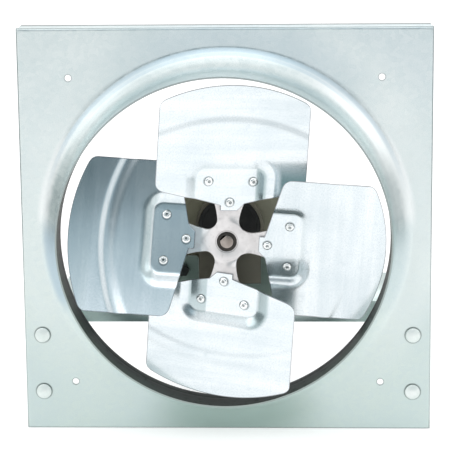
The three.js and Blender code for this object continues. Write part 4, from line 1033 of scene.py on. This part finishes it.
def threadMesh(radius, y0, y1, pitch=1.1, sides=28):  # a rod with turned ridges for its thread
    depth = radius * 0.11
    count = max(1, round((y1 - y0) / pitch))
    pitch = (y1 - y0) / count
    profile = [(0.0, y0), (radius - depth, y0)]
    for i in range(count):
        profile += [(radius, y0 + pitch * (i + 0.5)), (radius - depth, y0 + pitch * (i + 0.97))]
    return turnedMesh(profile + [(radius - depth * 2, y1), (0.0, y1)], sides, False)


def roundMesh(profile, sides=40, corner=0.25):
    return turnedMesh(rimmed(profile, corner), sides, False)


def hexBolt(sizes, nutAt):
    high, end = sizes["headHeight"], nutAt + sizes["nut"]
    thread = threadMesh(sizes["radius"], -high * 0.5, end + sizes["stick"])
    return fused([hexMesh(sizes["head"], -high, 0.0), thread, hexMesh(sizes["head"], nutAt, end)])


def slottedScrew(sizes, length, nutAt=None):
    head, high, half = picked(sizes, "head headHeight slotHalf")
    profile = [(0, -high), (head * 0.75, -high), (head, -high * 0.45), (head, 0), (0, 0)]
    top = newObject("head", roundMesh(profile, 40, 0.4))
    combined(top, blockMesh((-20, -high - 1, -half), (20, -high * 0.5, half)))
    parts = [top.data, threadMesh(sizes["radius"], -high * 0.4, length, 0.8)]
    if nutAt:
        parts.append(hexMesh(head, nutAt, nutAt + sizes["nut"], 0.5))
    bpy.data.objects.remove(top)
    return fused(parts)


rivetSizes = {"seat": -45.8, "grip": 2.75, "shank": 2.4, "head": 4.4, "height": 1.7, "dimple": 1.5,
              "outer": (21.3, 59.9), "inner": 39.4}


def shadeMarked(mesh, radius, dimple=0.0):  # marks the foot of a turned head and its dimple, where the material paints shade
    marks = mesh.attributes.new("outward", "FLOAT", "POINT")
    for vertex, mark in zip(mesh.vertices, marks.data):
        away = math.hypot(vertex.co.x, vertex.co.z) / mm
        mark.value = 1.0 if away < dimple else min(1.0, max(0.0, (away / radius - 0.93) / 0.05))
    return mesh


def rivetShape(sizes):  # front head is peened round a hollow end
    grip, head, shank, dimple = picked(sizes, "grip head shank dimple")
    top = grip + sizes["height"]
    front = [(0, 1.1 - top), (dimple * 0.7, 1.0 - top), (dimple, 0.25 - top), (dimple + 0.5, -top),
             (head * 0.72, 0.35 - top), (head * 0.93, 0.95 - top), (head, -grip - 0.25), (head * 0.97, -grip),
             (shank, -grip)]
    back = [(shank, grip), (head, grip), (head * 0.97, grip + 0.45), (head * 0.75, grip + 1.2),
            (head * 0.4, top - 0.1), (0, top)]
    return shadeMarked(turnedMesh(front + back, 32, False), head, dimple * 0.9)


def rivetPlaces(sizes):
    side, outer = sizes["outer"]
    lean = math.atan(spiderSizes["slope"])
    places = []
    for number in range(4):
        turn = Matrix.Translation((shaftX, 0, 0)) @ Matrix.Rotation(restTurn + number * math.pi / 2, 4, "Y")
        for x, z in ((-side, outer), (side, outer), (0.0, sizes["inner"])):
            middle = sizes["seat"] + spiderSizes["slope"] * x + sizes["grip"]
            spot = Matrix.Translation(Vector((x, middle, z)) * mm) @ Matrix.Rotation(lean, 4, "Z")
            places.append(turn @ spot)
    return places


carriageSizes = {"head": 7.85, "height": 3.4, "shank": 3.175, "washerAt": 4.2, "washer": 1.5,
                 "washerRadius": 8.0, "nut": 5.4, "nutRadius": 6.4, "stick": 3.0, "neck": 3.2,
                 "neckStart": -0.5, "neckEnd": 1.9, "seat": -0.3}


def carriageShape(sizes, steps=6):
    head, high, neck, wide = picked(sizes, "head height neck washerRadius")
    edge, rest = high * 0.6, high * 0.7
    shares = [step / steps for step in range(steps + 1)]
    dome = [(share * (head - edge), high * 0.3 * share ** 2 - high) for share in shares]
    for step in range(1, steps + 1):
        turn = math.pi / 2 * step / steps
        dome.append((head - edge + edge * math.sin(turn), -rest * (0.2 + 0.8 * math.cos(turn))))
    nutAt = sizes["washerAt"] + sizes["washer"]
    return fused([
        shadeMarked(turnedMesh(dome + [(head - 0.15, 0.0), (0, 0.0)], 48, False), head),
        blockMesh((-neck, sizes["neckStart"], -neck), (neck, sizes["neckEnd"], neck)),
        threadMesh(sizes["shank"], -0.5, nutAt + sizes["nut"] + sizes["stick"]),
        hexMesh(sizes["nutRadius"], nutAt, nutAt + sizes["nut"]),
        roundMesh([(0, sizes["washerAt"]), (wide, sizes["washerAt"]), (wide, nutAt), (0, nutAt)])])


def placesFrom(names, axis, seat):  # at the middle of each node, the head's seat at its height on the axis
    found = []
    for name in names:
        spot = centreOf(name)
        spot[[abs(value) for value in axis].index(1)] = seat
        found.append(along(axis, spot))
    return found


quarterBolt = {"radius": 3.175, "head": 6.4, "headHeight": 4.1, "nut": 5.4, "stick": 3.0, "cradleGrip": 4.7,
               "hangerGrip": 5.9}
throughBolt = {"radius": 2.25, "head": 4.6, "headHeight": 3.0, "nut": 3.4, "stick": 1.5}
coverScrew = {"radius": 1.75, "head": 3.4, "headHeight": 2.0, "slotHalf": 0.4}
pinchScrew = {"radius": 1.9, "head": 3.6, "headHeight": 2.4, "slotHalf": 0.4, "nut": 2.6, "stick": 1.5}
motorMiddle = 83.5

names = numbered("rivet", 12)
fastenerSet("bladeRivets", rivetShape(rivetSizes), rivetPlaces(rivetSizes), "rivet", names, "rotor", 50)

names = numbered("carriage_bolt", 4)
places = placesFrom(names, (0, 1, 0), carriageSizes["seat"])
fastenerSet("carriageBolts", carriageShape(carriageSizes), places, "crown", names)

names = numbered("cradle_bolt", 4)
places = placesFrom(names, (0, 0, -1), boxOf(names[0])[1].z - quarterBolt["headHeight"])
fastenerSet("cradleBolts", hexBolt(quarterBolt, quarterBolt["cradleGrip"]), places, "zinc", names)

names = numbered("hanger_bolt", 4)
places = []
for name in names:
    low, high = boxOf(name)
    front = (low.y + high.y) / 2 < motorMiddle
    seat = low.y + quarterBolt["headHeight"] if front else high.y - quarterBolt["headHeight"]
    places += placesFrom([name], (0, 1 if front else -1, 0), seat)
fastenerSet("hangerBolts", hexBolt(quarterBolt, quarterBolt["hangerGrip"]), places, "darkBolt", names)

names = numbered("through_bolt", 4)
low, high = boxOf(names[0])
seat = low.y + throughBolt["headHeight"]
grip = high.y - throughBolt["stick"] - throughBolt["nut"] - seat
fastenerSet("throughBolts", hexBolt(throughBolt, grip), placesFrom(names, (0, 1, 0), seat), "zinc", names)

names = numbered("cover_screw", 2)
low, high = boxOf(names[0])
seat = high.z - coverScrew["headHeight"]
places = placesFrom(names, (0, 0, -1), seat)
fastenerSet("coverScrews", slottedScrew(coverScrew, seat - low.z), places, "zinc", names)

names = ["front_pinch_screw", "rear_pinch_screw"]
low, high = boxOf(names[0])
seat = high.x - pinchScrew["headHeight"]
shape = slottedScrew(pinchScrew, seat - low.x, seat - low.x - pinchScrew["stick"] - pinchScrew["nut"])
fastenerSet("pinchScrews", shape, placesFrom(names, (-1, 0, 0), seat), "zinc", names)
print("fasteners set")

# Hub, shaft and set screw

shaftSizes = {"radius": 6.35, "front": -44.6, "back": 142.6, "flatDepth": 1.5, "flatLength": 32.0,
              "flatTurn": -45.0}
hubSizes = {"bore": 6.6, "nose": 9.5, "front": -44.6, "shoulder": -40.3, "radius": 14.0, "back": -15.3,
            "edge": 0.5, "screwHole": 4.2, "screw": 3.9, "screwStart": 5.15, "screwEnd": 12.15,
            "socket": 2.3, "socketStart": 9.0}
hubMiddle = (hubSizes["shoulder"] + hubSizes["back"]) / 2


def onRotor(thing, finish, node):  # turned so that the shaft's flat faces its way
    turn = restTurn + math.radians(shaftSizes["flatTurn"])
    thing.data.transform(Matrix.Translation((shaftX, 0, 0)) @ Matrix.Rotation(turn, 4, "Y"))
    finished(thing, finish, "rotor", [node])


def propellerHub(sizes):
    bore, nose, radius, edge = picked(sizes, "bore nose radius edge")
    front, shoulder, back = picked(sizes, "front shoulder back")
    profile = [(bore, front + edge), (bore + edge, front), (nose, front), (nose, shoulder),
               (radius, shoulder), (radius, back), (bore, back), (bore, front + edge)]
    hub = newObject("propellerHub", turnedMesh(rimmed(profile, edge)[1:], 96))
    combined(hub, barMesh((0, hubMiddle, 3), (0, hubMiddle, 20), sizes["screwHole"]))
    onRotor(hub, "hub", "propeller_hub")


def motorShaft(sizes):
    radius, front, back, flatDepth, flatLength = picked(sizes, "radius front back flatDepth flatLength")
    profile = [(0, front), (radius, front), (radius, back), (0, back)]
    shaft = newObject("motorShaft", roundMesh(profile, 64, 0.5))
    combined(shaft, blockMesh((-10, front - 2, radius - flatDepth), (10, front + flatLength, 12)))
    onRotor(shaft, "shaft", "motor_shaft")


def hubSetScrew(sizes):
    thread = threadMesh(sizes["screw"], sizes["screwStart"], sizes["screwEnd"], 1.0, 32)
    screw = newObject("hubSetScrew", thread)
    combined(screw, hexMesh(sizes["socket"], sizes["socketStart"], sizes["screwEnd"] + 0.85, 0.1))
    screw.data.transform(Matrix.Translation((0, hubMiddle * mm, 0)) @ Matrix.Rotation(math.pi / 2, 4, "X"))
    onRotor(screw, "shaft", "hub_set_screw")


propellerHub(hubSizes)
motorShaft(shaftSizes)
hubSetScrew(hubSizes)

# Motor: shell, end shields, rubber rings and their hangers; each back piece mirrors the front one

shellSizes = {"radius": 71.0, "wall": 2.0, "seamIn": 6.0, "seamHalf": 0.8, "seamDepth": 0.5}
shieldProfile = [(7.4, 22.0), (24.0, 22.0), (24.0, 36.0), (48.0, 36.0), (54.0, 42.0), (69.0, 42.0),
                 (71.0, 44.0), (71.0, 54.0), (67.5, 54.0), (67.5, 45.5), (54.0, 45.5), (48.0, 39.5),
                 (16.3, 39.5), (16.3, 24.4), (7.4, 24.4), (7.4, 22.0)]
cushionProfile = [(9.0, 20.0), (13.0, 20.0), (13.6, 20.5), (27.0, 20.5), (27.6, 20.0), (30.8, 20.0),
                  (30.8, 34.0), (24.3, 34.0), (24.3, 21.7), (9.0, 21.7), (9.0, 20.0)]
hangerSizes = {"half": 30.9, "front": 24.0, "back": 29.3, "low": -58.3, "high": -15.5, "footHalf": 56.0,
               "footFront": 26.8, "footLow": -56.0, "footHigh": -33.0, "inner": 31.1, "outer": 34.1,
               "bandFront": 21.3, "bandBack": 33.3, "ears": ((-4.5, -1.5), (1.5, 4.5)), "earFront": 22.8,
               "earBack": 31.8, "earLow": 32.6, "earHigh": 46.1, "gapHalf": 1.5, "screwAt": (27.3, 40.1),
               "screwHole": 2.2, "edge": 0.5}


def onMotor(thing, finish, node, back=False, sharp=32):  # on the shaft line, the back piece turned round
    if back:
        mirror = Matrix.Scale(-1, 4, (0, 1, 0))
        thing.data.transform(Matrix.Translation((0, 2 * motorMiddle * mm, 0)) @ mirror)
        thing.data.flip_normals()
    thing.data.transform(Matrix.Translation((shaftX, 0, 0)))
    finished(thing, finish, "frame", [node], sharp=sharp)


def motorShell(sizes):
    low, high = boxOf("motor_shell")
    outer, half = sizes["radius"], sizes["seamHalf"]
    inner = outer - sizes["wall"]
    profile = [(inner, low.y), (outer, low.y)]
    for seam in (low.y + sizes["seamIn"], high.y - sizes["seamIn"]):
        profile += [(outer, seam - half), (outer - sizes["seamDepth"], seam), (outer, seam + half)]
    profile += [(outer, high.y), (inner, high.y), (inner, low.y)]
    onMotor(newObject("motorShell", turnedMesh(rimmed(profile, 0.4)[:-1], 144)), "enamel", "motor_shell")


def ringHanger(sizes):
    half, front, back, low, high = picked(sizes, "half front back low high")
    inner, outer, bandFront, bandBack = picked(sizes, "inner outer bandFront bandBack")
    body = newObject("block", blockMesh((-half, front, low), (half, back, high)))
    foot, end = sizes["footHalf"], sizes["footHigh"]
    combined(body, blockMesh((-foot, sizes["footFront"], sizes["footLow"]), (foot, back, end)), "UNION")
    combined(body, barMesh((0, 10, 0), (0, 40, 0), inner, 96))
    band = [(inner, bandFront), (outer, bandFront), (outer, bandBack), (inner, bandBack)]
    combined(body, turnedMesh(band, 96), "UNION")
    near, far = (sizes["earFront"], sizes["earLow"]), (sizes["earBack"], sizes["earHigh"])
    for left, right in sizes["ears"]:
        ear = blockMesh((left, *near), (right, *far))
        combined(body, ear, "UNION")
    combined(body, blockMesh((-sizes["gapHalf"], 15, 26), (sizes["gapHalf"], 40, 52)))
    combined(body, barMesh((-10, *sizes["screwAt"]), (10, *sizes["screwAt"]), sizes["screwHole"], 24))
    return bevelled(body, sizes["edge"], 55)


for word, back in (("front", False), ("rear", True)):
    shield = turnedMesh(rimmed(shieldProfile, 1.2, 4)[:-1], 128)
    onMotor(newObject(word + "EndShield", shield), "enamel", word + "_end_shield", back)
motorShell(shellSizes)
for word, back in (("front", False), ("rear", True)):
    cushion = turnedMesh(rimmed(cushionProfile, 0.7, 3)[:-1], 112)
    onMotor(newObject(word + "CushionRing", cushion), "rubber", word + "_cushion_ring", back)
print("motor and rings made")

# Sheet-metal pieces whose solids already have the right shape: copied, merged and given rounded edges

sheetPieces = [("motorShelf", "motor_shelf", "galvanised", 1.1),
               ("rightShelfBracket", "right_shelf_bracket", "galvanised", 0.8),
               ("leftShelfBracket", "left_shelf_bracket", "galvanised", 0.8),
               ("motorCradle", "motor_cradle", "shaded", 1.0),
               ("terminalBoxCover", "terminal_box_cover", "enamel", 0.5)]
knockoutSizes = {"start": -3.5, "end": 4.0, "height": 92.48, "radius": 11.2}


def softenedCopy(name, node, finish, width, cutter=None):
    mesh = nodes[node].data.copy()
    shape = bmesh.new()
    shape.from_mesh(mesh)
    bmesh.ops.remove_doubles(shape, verts=shape.verts, dist=2e-6)
    bmesh.ops.dissolve_limit(shape, angle_limit=math.radians(0.5), verts=shape.verts, edges=shape.edges)
    shape.to_mesh(mesh)
    shape.free()
    thing = newObject(name, mesh)
    if cutter:
        combined(thing, cutter)
    finished(bevelled(thing, width, 50), finish, "frame", [node], sharp=38)


for sheetPiece in sheetPieces:
    softenedCopy(*sheetPiece)
wall = boxOf("terminal_box")[1].y
knockout = [(shaftX / mm, wall + knockoutSizes[key], knockoutSizes["height"]) for key in ("start", "end")]
softenedCopy("terminalBox", "terminal_box", "enamel", 0.6, barMesh(*knockout, knockoutSizes["radius"], 56))
for word, back in (("front", False), ("rear", True)):
    onMotor(ringHanger(hangerSizes), "hanger", word + "_ring_hanger", back, 35)
print("sheet-metal pieces made")

# Carried-over nodes inside the motor

for finish, names in (("laminations", ("stator_core", "rotor_core")),
                      ("copper", ("front_winding", "rear_winding")),
                      ("bronze", ("front_bearing", "rear_bearing"))):
    for name in names:
        nodes[name].data.materials.clear()
        nodes[name].data.materials.append(finishes[finish])

# Floor, background and studio light

stageSizes = {"floor": -0.2032, "reach": 12.0, "glow": 0.5, "cardFront": -0.5, "cardBack": 0.45,
              "cardLow": -0.2, "cardHigh": 0.14, "cardTint": (1.0, 1.12, 1.13),
              "cards": [("leftCard", -0.95, 0.3), ("rightCard", 0.95, 0.4)],
              "lamps": [("overheadLamp", (-0.2, -2.1, 2.5), (2.6, 1.5), 12.0),
                        ("leftLamp", (-2.6, -1.8, 1.6), (1.6, 1.6), 7.0),
                        ("rightLamp", (2.6, -1.6, 1.6), (1.6, 1.6), 6.0),
                        ("backLamp", (0.4, 2.6, 2.4), (2.2, 2.2), 14.0)]}
# light from in front by height: low shows dark between the two side lights, high is the bright ceiling
frontRamp = [(0.0, (0.2, 0.26, 0.29)), (0.1, (0.11, 0.165, 0.185)), (0.32, (0.12, 0.175, 0.2)),
             (0.4, (0.38, 0.51, 0.57)), (0.48, (0.54, 0.66, 0.72)), (0.59, (0.76, 0.85, 0.9)),
             (0.72, (0.97, 0.985, 1.0))]


def glowing(name, points, colour, strength, bounce=None):  # a square that gives off light
    mesh = rawMesh(name, [Vector(point) / mm for point in points], [(0, 1, 2, 3)])
    material = bpy.data.materials.new(name)
    material.use_nodes = True
    tree = material.node_tree
    tree.nodes.clear()
    light = put(tree, "Emission", {"Color": (*colour, 1.0), "Strength": strength})
    if bounce:  # glows only where it is looked at, and scatters the light of the lamps
        path = put(tree, "LightPath")
        seen = strongest(out(path, f"Is {kind} Ray") for kind in ("Camera", "Glossy", "Transmission"))
        plug(seen * strength, light.inputs["Strength"])
        diffuse = put(tree, "BsdfDiffuse", {"Color": (*bounce, 1.0)})
        light = put(tree, "AddShader", {0: out(diffuse), 1: out(light)})
    put(tree, "OutputMaterial", {"Surface": out(light)})
    mesh.materials.append(material)
    return newObject(name, mesh)


def makeFloor(sizes):
    reach, z = sizes["reach"], sizes["floor"]
    corners = [(-reach, -reach, z), (reach, -reach, z), (reach, reach, z), (-reach, reach, z)]
    floor = glowing("floor", corners, (1.0, 1.0, 1.0), sizes["glow"], (0.8, 0.8, 0.8))
    floor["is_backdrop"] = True


def makeWorld():
    world = bpy.data.worlds.new("studio")
    bpy.context.scene.world = world
    world.use_nodes = True
    tree = world.node_tree
    tree.nodes.clear()
    path = put(tree, "LightPath")
    x, y, z = split(out(put(tree, "TexCoord"), "Generated"))
    sideways = x.size() / (x * x + y * y).root()
    ramp = put(tree, "ValToRGB", {"Fac": z})
    while len(ramp.color_ramp.elements) < len(frontRamp):
        ramp.color_ramp.elements.new(0.5)
    for stop, (place, colour) in zip(ramp.color_ramp.elements, frontRamp):
        stop.position = place
        stop.color = (*colour, 1.0)
    side = sideways.band(0.78, 0.95) * z.band(0.2, 0.4, 1.0, 0.0)
    infront = sideways.band(0.3, 0.55, 1.0, 0.0) * (y * -1.0).band(0.0, 0.1)
    glossy = mixed(infront, mixed(side, (0.93, 0.955, 0.96, 1.0), (0.5, 0.55, 0.55, 1.0)), out(ramp))
    colour = mixed(out(path, "Is Glossy Ray"), (0.78, 0.78, 0.78, 1.0), glossy)
    seen = out(path, "Is Camera Ray").most(out(path, "Is Transmission Ray"))
    colour = mixed(seen, colour, (1.0, 1.0, 1.0, 1.0))
    background = put(tree, "Background", {"Color": colour, "Strength": 1.0})
    put(tree, "OutputWorld", {"Surface": out(background)})


def makeCards(sizes):  # dark cards either side, seen only in reflections
    front, back, low, high = picked(sizes, "cardFront cardBack cardLow cardHigh")
    for name, x, tone in sizes["cards"]:
        corners = [(x, front, low), (x, back, low), (x, back, high), (x, front, high)]
        card = glowing(name, corners, [tone * share for share in sizes["cardTint"]], 1.0)
        card.visible_camera = card.visible_diffuse = card.visible_shadow = False
        card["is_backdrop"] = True


def makeLamps(sizes):
    for name, spot, size, power in sizes["lamps"]:
        data = bpy.data.lights.new(name, "AREA")
        data.shape = "RECTANGLE"
        data.size, data.size_y = size
        data.energy = power
        lamp = newObject(name, data)
        lamp.location = spot
        lamp.rotation_euler = (-Vector(spot)).to_track_quat("-Z", "Y").to_euler()


makeFloor(stageSizes)
makeCards(stageSizes)
makeWorld()
makeLamps(stageSizes)
bpy.context.scene.view_settings.view_transform = "Standard"

low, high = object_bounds()
print("visual box:", [round(value, 4) for value in (*low, *high)])
